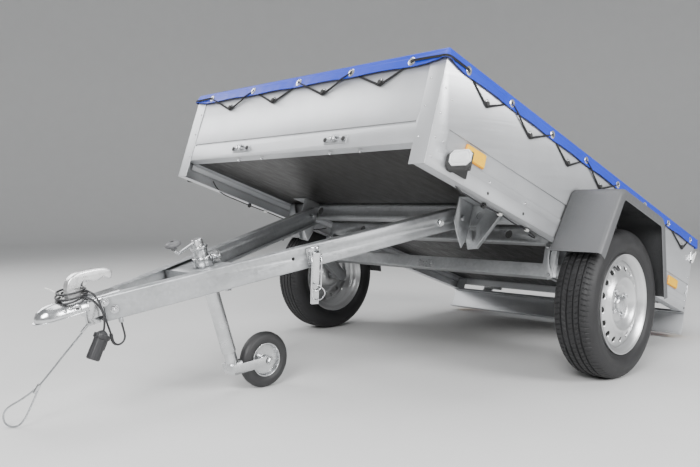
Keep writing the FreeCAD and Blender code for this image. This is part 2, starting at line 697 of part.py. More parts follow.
def axle_beam():
    """Square torsion tube with the packers and straps that hang it from the side walls."""
    half, size = HALF_WIDTH - AXLE_TUBE_SETBACK, AXLE_TUBE_SIZE / 2
    bore = size - AXLE_TUBE_WALL
    tube = block(
        (-half, half), (-AXLE_LEAD - size, -AXLE_LEAD + size), (AXLE_RISE - size, AXLE_RISE + size)
    )
    inside = block(
        (-half - OVERRUN, half + OVERRUN), (
            -AXLE_LEAD - bore, -AXLE_LEAD + bore
        ), (AXLE_RISE - bore, AXLE_RISE + bore)
    )
    pieces = []
    for side in (-1, 1):
        place = side * (HALF_WIDTH - AXLE_HANGER_SETBACK)
        wide = (place - AXLE_HANGER_WIDTH / 2, place + AXLE_HANGER_WIDTH / 2)
        packer = block(
            wide, (-AXLE_LEAD - size, -AXLE_LEAD + size), (AXLE_RISE + size - SHEET, SIDE_BOTTOM)
        )
        slot = block(
            (place - AXLE_HANGER_WIDTH, place + AXLE_HANGER_WIDTH), (-AXLE_LEAD - bore, -AXLE_LEAD + bore),
            (AXLE_RISE + size, SIDE_BOTTOM - AXLE_STRAP),
        )
        strap_line = [
            (-AXLE_LEAD - size - AXLE_STRAP_WIDTH, SIDE_BOTTOM), (-AXLE_LEAD - size, SIDE_BOTTOM),
            (-AXLE_LEAD - size, AXLE_RISE - size), (-AXLE_LEAD + size, AXLE_RISE - size),
            (-AXLE_LEAD + size, SIDE_BOTTOM), (-AXLE_LEAD + size + AXLE_STRAP_WIDTH, SIDE_BOTTOM),
        ]
        near = place + side * (AXLE_HANGER_WIDTH / 2 - AXLE_STRAP_WIDTH)
        strap = prism(
            bent_sheet(strap_line, -AXLE_STRAP), (
                near - AXLE_STRAP_WIDTH / 2, near + AXLE_STRAP_WIDTH / 2
            ), "x"
        )
        pieces += [packer.cut(slot), strap]
    return joined(tube, *pieces).cut(inside)


def suspension_arm():
    """Left trailing arm with its torsion shaft and stub axle."""
    start = HALF_WIDTH - AXLE_TUBE_SETBACK + SEAT_GAP
    span = (start, start + ARM_THICKNESS)
    root = rod_x(-AXLE_LEAD, AXLE_RISE, ARM_BOSS / 2, span)
    end = rod_x(0, 0, ARM_END_BOSS / 2, span)
    length = math.hypot(AXLE_LEAD, AXLE_RISE)
    across = Vector(0, AXLE_RISE / length, AXLE_LEAD / length)
    first, last = Vector(0, -AXLE_LEAD, AXLE_RISE), Vector(0, 0, 0)
    corners = [
        first + across * (ARM_BOSS / 2), last + across * (ARM_END_BOSS / 2),
        last - across * (ARM_END_BOSS / 2), first - across * (ARM_BOSS / 2),
    ]
    web = prism([(corner.y, corner.z) for corner in corners], span, "x")
    shaft = rod_x(-AXLE_LEAD, AXLE_RISE, ARM_SHAFT / 2, (start - ARM_SHAFT_LENGTH, start + RUN_GAP))
    hub_inner = WHEEL_PLANE + WHEEL_OFFSET - RIM_WALL - HUB_DEPTH
    stub = rod_x(0, 0, STUB_DIAMETER / 2, (start, hub_inner + HUB_DEPTH - RIM_WALL * 3))
    return joined(root, end, web, shaft, stub)


def mudguard():
    """Left mudguard: a moulded skirted arch over the wheel, open below."""
    outline = [
        (-GUARD_FRONT, GUARD_FRONT_FOOT), (-GUARD_FRONT_SHOULDER, GUARD_TOP),
        (GUARD_REAR_SHOULDER, GUARD_TOP), (GUARD_REAR, GUARD_REAR_FOOT),
    ]

    def arch(inset, span):
        """The outline moved inwards by inset, with round shoulders, as a solid along X."""
        line = bent_sheet(outline, -inset)[len(outline):][::-1] if inset else outline
        low = min(GUARD_FRONT_FOOT, GUARD_REAR_FOOT) - (OVERRUN if inset else 0)
        if inset:
            line = [stretched(line[1], line[0], low)] + line[1:3] + [stretched(line[2], line[3], low)]
        solid = prism(line, span, "x")
        level = GUARD_TOP - inset - OVERRUN
        return rounded(
            solid, GUARD_SHOULDER_RADIUS - inset / 2,
            lambda edge: runs_along(edge, Vector(1, 0, 0)) and edge.CenterOfMass.z > level,
        )

    def stretched(high, low_point, level):
        """Point on a sloping leg at a lower level."""
        share = (high[1] - level) / (high[1] - low_point[1])
        return (high[0] + (low_point[0] - high[0]) * share, level)

    span = (HALF_WIDTH + SEAT_GAP, GUARD_OUTER)
    solid = arch(0, span)
    room = arch(GUARD_WALL, (span[0] + GUARD_WALL, span[1] - GUARD_WALL))
    opening = arch(GUARD_LIP, (span[1] - GUARD_WALL - OVERRUN, span[1] + OVERRUN))
    inner_opening = arch(GUARD_INNER_LIP, (span[0] - OVERRUN, span[0] + GUARD_WALL + OVERRUN))
    return solid.cut([room, opening, inner_opening])


def lamp_board():
    """Folded board under the tailgate, with the fixed hinge knuckles."""
    face = BOX_REAR
    line = [
        (face - LAMP_BOARD_FLANGE, LAMP_BOARD_BOTTOM + SHEET * 4), (
            face - LAMP_BOARD_FLANGE, LAMP_BOARD_BOTTOM
        ),
        (face + SHEET, LAMP_BOARD_BOTTOM), (face + SHEET, LAMP_BOARD_TOP),
    ]
    board = prism(bent_sheet(line, SHEET), (-HALF_WIDTH, HALF_WIDTH), "x")
    shelf = block(
        (-HALF_WIDTH + SHEET * 2, HALF_WIDTH - SHEET * 2), (face - LAMP_BOARD_FLANGE, face),
        (SIDE_BOTTOM - SHEET * 2, SIDE_BOTTOM - SHEET),
    )
    pieces = [board, shelf]
    for side in (-1, 1):
        place = side * (HINGE_OFFSET + HINGE_LENGTH / 2)
        span = (place - HINGE_LENGTH / 2 + RUN_GAP, place + HINGE_LENGTH / 2 - RUN_GAP)
        pin_span = (span[0] - HINGE_LENGTH, span[1]) if side > 0 else (span[0], span[1] + HINGE_LENGTH)
        knuckle = rod_x(HINGE_PLACE, HINGE_HEIGHT, HINGE_DIAMETER / 2, span)
        pin = rod_x(HINGE_PLACE, HINGE_HEIGHT, HINGE_DIAMETER / 4, pin_span)
        leaf = prism(
            [
                (face, LAMP_BOARD_TOP - HINGE_DIAMETER),
                (face + SHEET + HINGE_LEAF, LAMP_BOARD_TOP - HINGE_DIAMETER),
                (HINGE_PLACE + HINGE_DIAMETER / 2, HINGE_HEIGHT - OVERRUN), (HINGE_PLACE, HINGE_HEIGHT),
                (face, HINGE_HEIGHT - HINGE_DIAMETER),
            ],
            span, "x",
        )
        pieces += [knuckle, pin, leaf]
    return joined(*pieces)


def rear_lamp():
    """Left tail lamp on the lamp board."""
    middle = (LAMP_BOARD_BOTTOM + LAMP_BOARD_TOP) / 2 - OVERRUN
    start = BOX_REAR + SHEET + SEAT_GAP
    outer = HALF_WIDTH - REAR_LAMP_SETBACK
    lamp = block(
        (outer - REAR_LAMP_LENGTH, outer),
        (start, start + REAR_LAMP_DEPTH), (middle - REAR_LAMP_HEIGHT / 2, middle + REAR_LAMP_HEIGHT / 2),
    )
    return rounded(lamp, REAR_LAMP_DEPTH / 4, lambda edge: edge.BoundBox.YMax > start + REAR_LAMP_DEPTH / 2)


def marker_lamp():
    """Left front marker: an eight-sided lens facing forwards on a wedge-shaped foot."""
    low, high, reach = MARKER_LOW, MARKER_HIGH, MARKER_REACH
    front = -BOX_FRONT + MARKER_SETBACK
    inner = HALF_WIDTH + SEAT_GAP
    corner = (high - low) / 4
    face = [
        (inner + corner, low), (inner + reach - corner, low), (inner + reach, low + corner),
        (inner + reach, high - corner), (inner + reach - corner, high), (inner + corner, high),
        (inner, high - corner), (inner, low + corner),
    ]
    lens = prism(face, (front, front + MARKER_LENS_DEPTH), "y")
    back = front + MARKER_LENS_DEPTH
    foot = prism(
        [(inner, back), (inner + reach - corner, back), (inner, back + MARKER_LENGTH - MARKER_LENS_DEPTH)],
        (low + corner / 2, high - corner / 2), "z",
    )
    return joined(lens, foot)


def tailgate():
    """Rear panel with folded rims and its moving hinge knuckles."""
    half = HALF_WIDTH - GATE_SETBACK
    tray = block((-half, half), (GATE_FACE, GATE_FACE + GATE_FOLD), (GATE_BOTTOM, GATE_TOP))
    room = block(
        (-half + SHEET, half - SHEET), (GATE_FACE + SHEET, GATE_FACE + GATE_FOLD + OVERRUN),
        (GATE_BOTTOM + SHEET, GATE_TOP - SHEET),
    )
    pieces = []
    for side in (-1, 1):
        place = side * (HINGE_OFFSET - HINGE_LENGTH / 2)
        span = (place - HINGE_LENGTH / 2 + RUN_GAP, place + HINGE_LENGTH / 2 - RUN_GAP)
        knuckle = rod_x(HINGE_PLACE, HINGE_HEIGHT, HINGE_DIAMETER / 2, span)
        leaf = block(
            span, (HINGE_PLACE - HINGE_DIAMETER / 2 + OVERRUN, HINGE_PLACE + HINGE_DIAMETER / 2 - OVERRUN),
            (HINGE_HEIGHT, GATE_BOTTOM + SHEET),
        )
        hole = rod_x(
            HINGE_PLACE, HINGE_HEIGHT, HINGE_DIAMETER / 4 + PIN_GAP, (span[0] - OVERRUN, span[1] + OVERRUN)
        )
        pieces.append(joined(knuckle, leaf).cut(hole))
    return joined(tray.cut(room), *pieces)


def cover_shell():
    """Flat cover with its front and side skirts, open below and at the rear."""
    half = HALF_WIDTH + COVER_SIDE_GAP
    front, rear = -BOX_FRONT - COVER_SIDE_GAP, BOX_REAR + COVER_REAR_REACH
    outer = block(
        (-half - COVER_CLOTH, half + COVER_CLOTH), (front - COVER_CLOTH, rear), (COVER_HEM, COVER_TOP)
    )
    room = block((-half, half), (front, rear + OVERRUN), (COVER_HEM - OVERRUN, COVER_TOP - COVER_CLOTH))
    return outer.cut(room)


def cover_flap():
    """Rear skirt of the cover, hanging over the tailgate's top edge."""
    half = HALF_WIDTH + COVER_SIDE_GAP + COVER_CLOTH
    rear = BOX_REAR + COVER_REAR_REACH + SEAT_GAP
    return block((-half, half), (rear, rear + COVER_CLOTH), (COVER_HEM, COVER_TOP))


def beam():
    """Left drawbar beam: a channel open inwards, splayed out to the tilt pivot."""
    length = BEAM_TO_PIVOT / math.cos(BEAM_ANGLE) + BEAM_HEIGHT
    line = [(-BEAM_FLANGE, 0), (0, 0), (0, BEAM_HEIGHT), (-BEAM_FLANGE, BEAM_HEIGHT)]
    channel = prism(bent_sheet(line, BEAM_WALL), (-BEAM_HEIGHT, length), "y")
    channel = rounded(
        channel, BEAM_WALL * 1.5,
        lambda edge: runs_along(edge, Vector(0, 1, 0)) and edge.CenterOfMass.x > -OVERRUN / 4,
    )
    turn = Rotation(Vector(0, 0, 1), -math.degrees(BEAM_ANGLE))
    channel.Placement = Placement(Vector(BEAM_FRONT_OFFSET, 0, 0), turn)
    wide = BEAM_PIVOT_OFFSET * 2
    keep = joined(
        block((-BEAM_FLANGE, wide), (0, BEAM_TO_PIVOT), (0, BEAM_HEIGHT)),
        rod_x(BEAM_TO_PIVOT, BEAM_MIDDLE, BEAM_MIDDLE, (-BEAM_FLANGE, wide)),
    )
    pin = rod_x(BEAM_TO_PIVOT, BEAM_MIDDLE, BOLT_DIAMETER / 2 + PIN_GAP, (0, wide))
    hole = rod_x(BEAM_HOLE_PLACE, BEAM_HOLE_HEIGHT, BOLT_DIAMETER / 2, (0, wide))
    notch = block(
        (-BEAM_FLANGE, COUPLING_HALF_WIDTH + SEAT_GAP), (-OVERRUN, COUPLING_TAIL + SEAT_GAP),
        (COUPLING_SHANK_BOTTOM - OVERRUN, BEAM_HEIGHT + OVERRUN),
    )
    return channel.common(keep).cut([pin, hole, notch])


def left_beam():
    """Left beam with the gland that lets the electric lead out."""
    x, y, z = LEAD_FEED_ROUTE[0]
    gland = rod_z(x, y, LEAD_GLAND / 2, (z, z + LEAD_GLAND_HEIGHT + BEAM_WALL / 2))
    return joined(beam(), gland)


def coupling_form(inset):
    """Pressed body of the ball coupling, or the room inside it when inset is given.

    The nose is a round form about the drawbar's line; the shank behind it is a rounded box.
    """
    reach, level, half = COUPLING_REACH, COUPLING_AXIS, COUPLING_HALF_WIDTH - inset
    bulge, below = COUPLING_CROWN - COUPLING_AXIS, OVERRUN if inset else 0
    radius_shares = (
        (0.02, 0.35), (0.07, 0.66), (0.16, 0.88), (0.30, 0.99), (0.50, 1.0), (0.70, 0.96), (0.90, 0.90)
    )
    line = [(-reach * (1 - along), bulge * up - inset) for along, up in radius_shares]
    corners = [(inset - reach, 0)] + line + [(line[-1][0], 0)]
    face = Part.Face(Part.makePolygon([Vector(0, y, level + r) for y, r in corners + corners[:1]]))
    nose = face.revolve(Vector(0, 0, level), Vector(0, 1, 0), 360)
    keep = block((-bulge, bulge), (-reach, 0), (COUPLING_RIM - below, COUPLING_CROWN))
    tail = COUPLING_TAIL + below
    shank = block(
        (-half, half), (-reach * 0.22 + inset, tail),
        (COUPLING_SHANK_BOTTOM - below, COUPLING_SHANK_TOP - inset)
    )
    shank = rounded(
        shank, half / 3,
        lambda edge: runs_along(edge, Vector(0, 1, 0)) and edge.CenterOfMass.z > level,
    )
    return joined(nose.common(keep), shank)


def coupling_head():
    """Ball coupling: pressed body with a rolled rim, the ball cup and its two cross bolts."""
    outer = coupling_form(0)
    cup = rod_z(0, -BALL_PLACE, BALL_DIAMETER / 2 + COUPLING_WALL * 1.5, (COUPLING_RIM, COUPLING_CROWN))
    ball = Part.makeSphere(BALL_DIAMETER / 2 + RUN_GAP, Vector(0, -BALL_PLACE, BALL_HEIGHT))
    mouth = rod_z(0, -BALL_PLACE, BALL_DIAMETER / 2 + RUN_GAP, (COUPLING_RIM - OVERRUN, BALL_HEIGHT))
    rim_half = COUPLING_HALF_WIDTH + COUPLING_RIM_WIDTH
    pieces = [outer.cut(coupling_form(COUPLING_WALL)), outer.common(cup).cut([ball, mouth])]
    for place in (COUPLING_BOLT_PLACE, COUPLING_TAIL - COUPLING_BOLT_PLACE / 2):
        level = (COUPLING_SHANK_BOTTOM + BEAM_HEIGHT) / 2
        pieces.append(
            rod_x(place, level, BOLT_DIAMETER / 2 - RUN_GAP, (-COUPLING_HALF_WIDTH, COUPLING_HALF_WIDTH))
        )
    edge = [
        (-rim_half * 0.42, -COUPLING_REACH - COUPLING_RIM_WIDTH / 2), (
            rim_half * 0.42, -COUPLING_REACH - COUPLING_RIM_WIDTH / 2
        ),
        (rim_half * 0.84, -COUPLING_REACH * 0.9), (rim_half * 0.98, -COUPLING_REACH * 0.7),
        (rim_half * 0.98, -COUPLING_REACH * 0.3), (-rim_half * 0.98, -COUPLING_REACH * 0.3),
        (-rim_half * 0.98, -COUPLING_REACH * 0.7), (-rim_half * 0.84, -COUPLING_REACH * 0.9),
    ]
    lip = prism(edge, (COUPLING_RIM, COUPLING_RIM + COUPLING_WALL), "z")
    pieces.append(lip.cut([coupling_form(COUPLING_WALL), ball, mouth]))
    pieces.append(block(
        (-ROPE_LUG_WIDTH / 2, ROPE_LUG_WIDTH / 2), (-ROPE_LUG_FRONT, -ROPE_LUG_REAR),
        (-ROPE_LUG_WIDTH / 4, COUPLING_CROWN - ROPE_LUG_WIDTH),
    ))
    return joined(*pieces)


def coupling_handle():
    """Lever that lifts off the ball: a neck out of the body, sweeping back over it."""
    root, length, rise = -HANDLE_ROOT, HANDLE_LENGTH, HANDLE_RISE
    base = COUPLING_CROWN - COUPLING_WALL
    shares = (
        (0.0, 0.0), (0.03, 0.34), (0.12, 0.72), (0.30, 0.96), (0.55, 1.0), (0.80, 0.94),
        (0.95, 0.80), (1.0, 0.58), (0.94, 0.43), (0.84, 0.44), (0.70, 0.57), (0.56, 0.56),
        (0.44, 0.52), (0.34, 0.44), (0.28, 0.30), (0.265, 0.0),
    )
    points = [Vector(-HANDLE_WIDTH / 2, root + along * length, base + up * rise) for along, up in shares]
    curve = Part.BSplineCurve()
    curve.interpolate(points)
    wire = Part.Wire([curve.toShape(), Part.makeLine(points[-1], points[0])])
    body = Part.Face(wire).extrude(Vector(HANDLE_WIDTH, 0, 0))
    return body.cut(coupling_form(0))


def nose_plate():
    """Folded cross piece between the beams that carries the jockey wheel's clamp."""
    top, front, rear, wall = NOSE_PLATE_HEIGHT, NOSE_PLATE_FRONT, NOSE_PLATE_REAR, NOSE_PLATE_WALL
    slope = math.tan(BEAM_ANGLE)
    inset = BEAM_WALL / math.cos(BEAM_ANGLE) + SEAT_GAP

    def reach(place):
        """Half width between the beams' webs at a place along the drawbar."""
        return BEAM_FRONT_OFFSET + slope * place - inset

    plate = prism(
        [(-reach(front), front), (reach(front), front), (reach(rear), rear), (-reach(rear), rear)],
        (top - wall, top), "z",
    )
    drop = prism(
        [
            (-reach(front), front), (reach(front), front),
            (reach(front), front + wall), (-reach(front), front + wall)
        ],
        (top - NOSE_PLATE_DROP, top), "z",
    )
    hole = rod_z(0, JOCKEY_PLACE, JOCKEY_TUBE_DIAMETER / 2 + SEAT_GAP, (-BEAM_HEIGHT, top + BEAM_HEIGHT))
    hole.Placement = jockey_lean(JOCKEY_LEAN)
    return joined(plate, drop).cut(hole)


def jockey_tube():
    """Outer tube with its clamp, collar, cap and lifting spindle; the clamp's foot lies on the plate."""
    radius, place = JOCKEY_TUBE_DIAMETER / 2, JOCKEY_PLACE
    tube = rod_z(0, place, radius, (JOCKEY_TUBE_BOTTOM, JOCKEY_TUBE_TOP))
    bore = rod_z(
        0, place, radius - JOCKEY_TUBE_WALL,
        (JOCKEY_TUBE_BOTTOM - OVERRUN, JOCKEY_TUBE_TOP - JOCKEY_COLLAR_HEIGHT)
    )
    clamp_low = NOSE_PLATE_HEIGHT + SEAT_GAP
    clamp_foot = clamp_low - CLAMP_HEIGHT / 2
    clamp = rod_z(0, place, CLAMP_DIAMETER / 2, (clamp_foot, clamp_low + CLAMP_HEIGHT))
    clamp = rounded(
        clamp, BOLT_HEAD_HEIGHT / 2, lambda edge: edge.BoundBox.ZMin > clamp_low + CLAMP_HEIGHT / 2
    )
    ear = block(
        (-BOLT_HEAD_HEIGHT, BOLT_HEAD_HEIGHT), (place, place + CLAMP_DIAMETER / 2 + CLAMP_EAR),
        (clamp_foot, clamp_low + CLAMP_HEIGHT),
    )
    below = block(
        (-CLAMP_DIAMETER, CLAMP_DIAMETER), (place - CLAMP_DIAMETER, place + CLAMP_DIAMETER),
        (clamp_foot - CLAMP_HEIGHT, clamp_low),
    )
    below.Placement = jockey_lean(-JOCKEY_LEAN)
    screw = rod_x(
        place + CLAMP_DIAMETER / 2 + CLAMP_EAR / 2, clamp_low + CLAMP_HEIGHT / 2, BOLT_DIAMETER / 2,
        (-CLAMP_EAR, CLAMP_EAR),
    )
    collar = rod_z(
        0, place, JOCKEY_COLLAR_DIAMETER / 2, (JOCKEY_TUBE_TOP - JOCKEY_COLLAR_HEIGHT, JOCKEY_TUBE_TOP)
    )
    cap = rod_z(0, place, JOCKEY_CAP_DIAMETER / 2, (JOCKEY_TUBE_TOP, JOCKEY_CAP_TOP))
    cap = rounded(cap, BOLT_HEAD_HEIGHT / 2, lambda edge: edge.BoundBox.ZMin > JOCKEY_CAP_TOP - OVERRUN)
    spindle = rod_z(0, place, SPINDLE_DIAMETER / 2, (SPINDLE_BOTTOM, JOCKEY_TUBE_TOP))
    clamped = joined(clamp, ear).cut(below)
    return joined(joined(tube, clamped, screw, collar, cap).cut(bore), spindle)


def jockey_crank():
    """Cranked rod from the cap down and forwards to the knob."""
    start = JOCKEY_PLACE - JOCKEY_CAP_DIAMETER / 2
    points = (
        Vector(0, start + SECTION_WALL, CRANK_HEIGHT),
        Vector(0, JOCKEY_PLACE - CRANK_FORWARD, CRANK_HEIGHT - CRANK_DROP),
        Vector(0, JOCKEY_PLACE - CRANK_FORWARD - CRANK_ROD, CRANK_HEIGHT - CRANK_DROP / 4),
    )
    pieces = []
    for first, last in zip(points, points[1:]):
        pieces.append(Part.makeCylinder(CRANK_ROD / 2, (last - first).Length, first, last - first))
        pieces.append(Part.makeSphere(CRANK_ROD / 2, last))
    cap = rod_z(0, JOCKEY_PLACE, JOCKEY_CAP_DIAMETER / 2, (JOCKEY_TUBE_TOP, JOCKEY_CAP_TOP))
    return joined(*pieces).cut(cap)


def crank_knob():
    """Mushroom-shaped grip on the crank's upturned end."""
    place = JOCKEY_PLACE - CRANK_FORWARD - CRANK_ROD
    low = CRANK_HEIGHT - CRANK_DROP / 4 + CRANK_ROD / 2 + SEAT_GAP
    head = rod_z(0, place, KNOB_DIAMETER / 2, (low + KNOB_HEIGHT / 3, low + KNOB_HEIGHT))
    head = rounded(head, KNOB_HEIGHT / 4, lambda edge: edge.Curve.TypeId == "Part::GeomCircle")
    stem = rod_z(0, place, KNOB_DIAMETER / 5, (low, low + KNOB_HEIGHT / 2))
    return joined(head, stem)


def jockey_nut():
    """Spindle nut that carries the inner leg and lets it swivel."""
    low = LEG_TOP + RUN_GAP
    flange = rod_z(0, JOCKEY_PLACE, LEG_DIAMETER / 2, (low, low + NUT_FLANGE))
    spigot = rod_z(0, JOCKEY_PLACE, LEG_DIAMETER / 2 - LEG_WALL - RUN_GAP, (low - NUT_HEIGHT, low))
    hole = rod_z(
        0, JOCKEY_PLACE, SPINDLE_DIAMETER / 2 + RUN_GAP,
        (low - NUT_HEIGHT - OVERRUN, low + NUT_FLANGE + OVERRUN)
    )
    return joined(flange, spigot).cut(hole)


def jockey_leg():
    """Inner tube with the trailing fork and axle of the jockey wheel."""
    axle_height = jockey_axle_height()
    end = JOCKEY_PLACE + FORK_TRAIL
    tube = rod_z(0, JOCKEY_PLACE, LEG_DIAMETER / 2, (LEG_BOTTOM, LEG_TOP))
    bore = rod_z(
        0, JOCKEY_PLACE, LEG_DIAMETER / 2 - LEG_WALL, (LEG_BOTTOM + FORK_ROOT_HEIGHT, LEG_TOP + OVERRUN)
    )
    inner = JOCKEY_WHEEL_WIDTH / 2 + EAR_GAP + RUN_GAP
    heel = block(
        (-inner - FORK_PLATE / 2, inner + FORK_PLATE / 2), (
            JOCKEY_PLACE - LEG_DIAMETER / 2, JOCKEY_PLACE + LEG_DIAMETER / 2
        ),
        (LEG_BOTTOM, LEG_BOTTOM + FORK_ROOT_HEIGHT),
    )
    pieces = [tube, heel]
    front = JOCKEY_PLACE - LEG_DIAMETER / 2
    for side in (-1, 1):
        span = (side * inner, side * (inner + FORK_PLATE))
        pieces.append(prism(
            [
                (front, LEG_BOTTOM), (front, LEG_BOTTOM + FORK_ROOT_HEIGHT),
                (end, axle_height + FORK_END_RADIUS), (end, axle_height - FORK_END_RADIUS),
            ],
            span, "x",
        ))
        pieces.append(rod_x(end, axle_height, FORK_END_RADIUS, span))
    pieces.append(
        rod_x(end, axle_height, JOCKEY_AXLE_DIAMETER / 2, (-inner - FORK_PLATE * 2, inner + FORK_PLATE * 2))
    )
    return joined(*pieces).cut(bore)


def jockey_tyre():
    """Solid rubber tyre of the jockey wheel."""
    half, outer, inner = JOCKEY_WHEEL_WIDTH / 2, JOCKEY_WHEEL_DIAMETER / 2, JOCKEY_RIM_DIAMETER / 2 + SEAT_GAP
    shoulder = half / 2
    outline = [
        (-half * 0.8, inner), (-half, inner + shoulder), (-half * 0.9, outer - shoulder),
        (-half * 0.5, outer - half * 0.1), (0, outer), (half * 0.5, outer - half * 0.1),
        (half * 0.9, outer - shoulder), (half, inner + shoulder), (half * 0.8, inner),
    ]
    return revolved(outline, Vector(0, JOCKEY_PLACE + FORK_TRAIL, jockey_axle_height()))


def jockey_rim():
    """Pressed rim of the jockey wheel on its bush."""
    half, outer = JOCKEY_WHEEL_WIDTH / 2, JOCKEY_RIM_DIAMETER / 2
    bush, bore, wall = JOCKEY_AXLE_DIAMETER, JOCKEY_AXLE_DIAMETER / 2 + PIN_GAP, JOCKEY_RIM_WALL
    outline = [
        (-half * 0.8, outer), (half * 0.8, outer), (half * 0.8, outer - wall), (wall, outer - wall * 2),
        (wall, bush), (half, bush), (half, bore), (-half, bore), (-half, bush), (-wall, bush),
        (-wall, outer - wall * 2), (-half * 0.8, outer - wall),
    ]
    return revolved(outline, Vector(0, JOCKEY_PLACE + FORK_TRAIL, jockey_axle_height()))


def wire_bail(distance):
    """Round-wire loop in front of the lever, from the hinge bar down to its bend."""
    half, top, bottom = BAIL_WIDTH / 2, BEAM_MIDDLE, BEAM_MIDDLE - BAIL_HEIGHT
    corners = (
        Vector(distance - BAIL_ROD, half, top), Vector(distance, half, top - BAIL_ROD * 3),
        Vector(distance, half, bottom), Vector(distance, 0, bottom - half),
        Vector(distance, -half, bottom), Vector(distance, -half, top - BAIL_ROD * 3),
        Vector(distance - BAIL_ROD, -half, top),
    )
    spine = Part.Wire([
        Part.makeLine(corners[0], corners[1]), Part.makeLine(corners[1], corners[2]),
        Part.Arc(*corners[2:5]).toShape(),
        Part.makeLine(corners[4], corners[5]), Part.makeLine(corners[5], corners[6]),
    ])
    circle = Part.makeCircle(BAIL_ROD / 2, corners[0], corners[1] - corners[0])
    return spine.makePipeShell([Part.Wire(circle)], True, False, 2)


def toggle_latch():
    """Left over-centre latch on the beam: plate, plumb lever and wire bail."""
    plate = block((0, TOGGLE_PLATE), (-TOGGLE_WIDTH / 2, TOGGLE_WIDTH / 2), (BEAM_MIDDLE / 4, TOGGLE_TOP))
    cheeks = []
    for side in (-1, 1):
        at = side * (TOGGLE_LEVER_WIDTH / 2 + TOGGLE_PLATE)
        cheeks.append(block(
            (0, TOGGLE_STANDOFF + TOGGLE_LEVER_DEPTH), (at - TOGGLE_PLATE / 2, at + TOGGLE_PLATE / 2),
            (BEAM_MIDDLE / 2, TOGGLE_TOP - BEAM_MIDDLE / 4),
        ))
    middle = TOGGLE_STANDOFF + TOGGLE_LEVER_DEPTH / 2
    hinge = rod_y(middle, BEAM_MIDDLE, BAIL_ROD, (-TOGGLE_WIDTH / 2, TOGGLE_WIDTH / 2))
    lever = block(
        (TOGGLE_STANDOFF, TOGGLE_STANDOFF + TOGGLE_LEVER_DEPTH),
        (-TOGGLE_LEVER_WIDTH / 2, TOGGLE_LEVER_WIDTH / 2), (
            TOGGLE_LEVER_BOTTOM, TOGGLE_TOP - BEAM_MIDDLE / 2
        ),
    )
    slot = block(
        (TOGGLE_STANDOFF - OVERRUN, TOGGLE_STANDOFF + TOGGLE_LEVER_DEPTH - SECTION_WALL),
        (-TOGGLE_LEVER_WIDTH / 2 + SECTION_WALL, TOGGLE_LEVER_WIDTH / 2 - SECTION_WALL),
        (TOGGLE_LEVER_BOTTOM - OVERRUN, 0),
    )
    bail = wire_bail(TOGGLE_STANDOFF + TOGGLE_LEVER_DEPTH + BAIL_ROD)
    hanging = joined(lever.cut(slot), bail)
    hanging.rotate(Vector(0, 0, BEAM_MIDDLE), Vector(1, 0, 0), -DRAWBAR_PITCH)
    latch = joined(plate, *cheeks, hinge, hanging)
    turn = Rotation(Vector(0, 0, 1), -math.degrees(BEAM_ANGLE))
    seat = BEAM_FRONT_OFFSET + math.tan(BEAM_ANGLE) * TOGGLE_PLACE + SEAT_GAP / math.cos(BEAM_ANGLE)
    latch.Placement = Placement(Vector(seat, TOGGLE_PLACE, 0), turn)
    return latch


def lead_coil():
    """The lead's turns around the handle's neck, as one ring."""
    place = Vector(0, -COIL_PLACE, 0)
    ring = rod_z(0, place.y, COIL_OUTER, (COIL_BOTTOM, COIL_BOTTOM + COIL_HEIGHT))
    room = rod_z(0, place.y, COIL_INNER, (COIL_BOTTOM - OVERRUN, COIL_BOTTOM + COIL_HEIGHT + OVERRUN))
    return ring.cut(room)


def plug():
    """Seven-pin plug hanging on the lead's end."""
    body = rod_z(0, 0, PLUG_DIAMETER / 2, (-PLUG_LENGTH, -PLUG_COLLAR_HEIGHT))
    body = rounded(body, PLUG_DIAMETER / 8, lambda edge: edge.BoundBox.ZMax < -PLUG_LENGTH / 2)
    collar = rod_z(0, 0, PLUG_COLLAR / 2, (-PLUG_COLLAR_HEIGHT * 1.6, -PLUG_COLLAR_HEIGHT * 0.6))
    neck = Part.makeCone(
        PLUG_DIAMETER / 2.4, LEAD_DIAMETER, PLUG_COLLAR_HEIGHT, Vector(0, 0, -PLUG_COLLAR_HEIGHT)
    )
    whole = joined(body, collar, neck)
    whole.Placement = Placement(Vector(*LEAD_DROP_ROUTE[-1]), Rotation(Vector(1, 0, 0), -PLUG_LEAN))
    return whole


def bed_pieces():
    """Pieces of the bed by name, in the bed frame."""
    pieces = {
        "front_wall": front_wall(),
        "floor_board": floor_board(),
        "cross_member_front": cross_member(-CROSS_MEMBER_FACE),
        "cross_member_axle": cross_member(-AXLE_LEAD - CROSS_MEMBER_FLANGE / 2),
        "axle_beam": axle_beam(),
        "lamp_board": lamp_board(),
        "tailgate": tailgate(),
        "cover": cover_shell(),
        "cover_rear_flap": cover_flap(),
    }
    sided = {
        "side_panel": side_panel, "pivot_bracket": pivot_bracket, "suspension_arm": suspension_arm,
        "mudguard": mudguard, "rear_lamp": rear_lamp, "marker_lamp": marker_lamp,
        "tyre": tyre, "rim": rim,
    }
    for name, make in sided.items():
        pieces[f"{name}_left"] = make()
        pieces[f"{name}_right"] = mirrored(pieces[f"{name}_left"])
    return pieces


def drawbar_pieces():
    """Pieces of the drawbar by name, in the drawbar frame."""
    pieces = {
        "beam_left": left_beam(),
        "beam_right": mirrored(beam()),
        "coupling_head": coupling_head(),
        "coupling_handle": coupling_handle(),
        "nose_plate": nose_plate(),
        "lead_coil": lead_coil(),
        "lead_plug": plug(),
        "lead_feed": cord_tube(LEAD_FEED_ROUTE, LEAD_DIAMETER),
        "lead_drop": cord_tube(LEAD_DROP_ROUTE, LEAD_DIAMETER),
    }
    pieces["toggle_latch_left"] = toggle_latch()
    pieces["toggle_latch_right"] = mirrored(pieces["toggle_latch_left"])
    return pieces


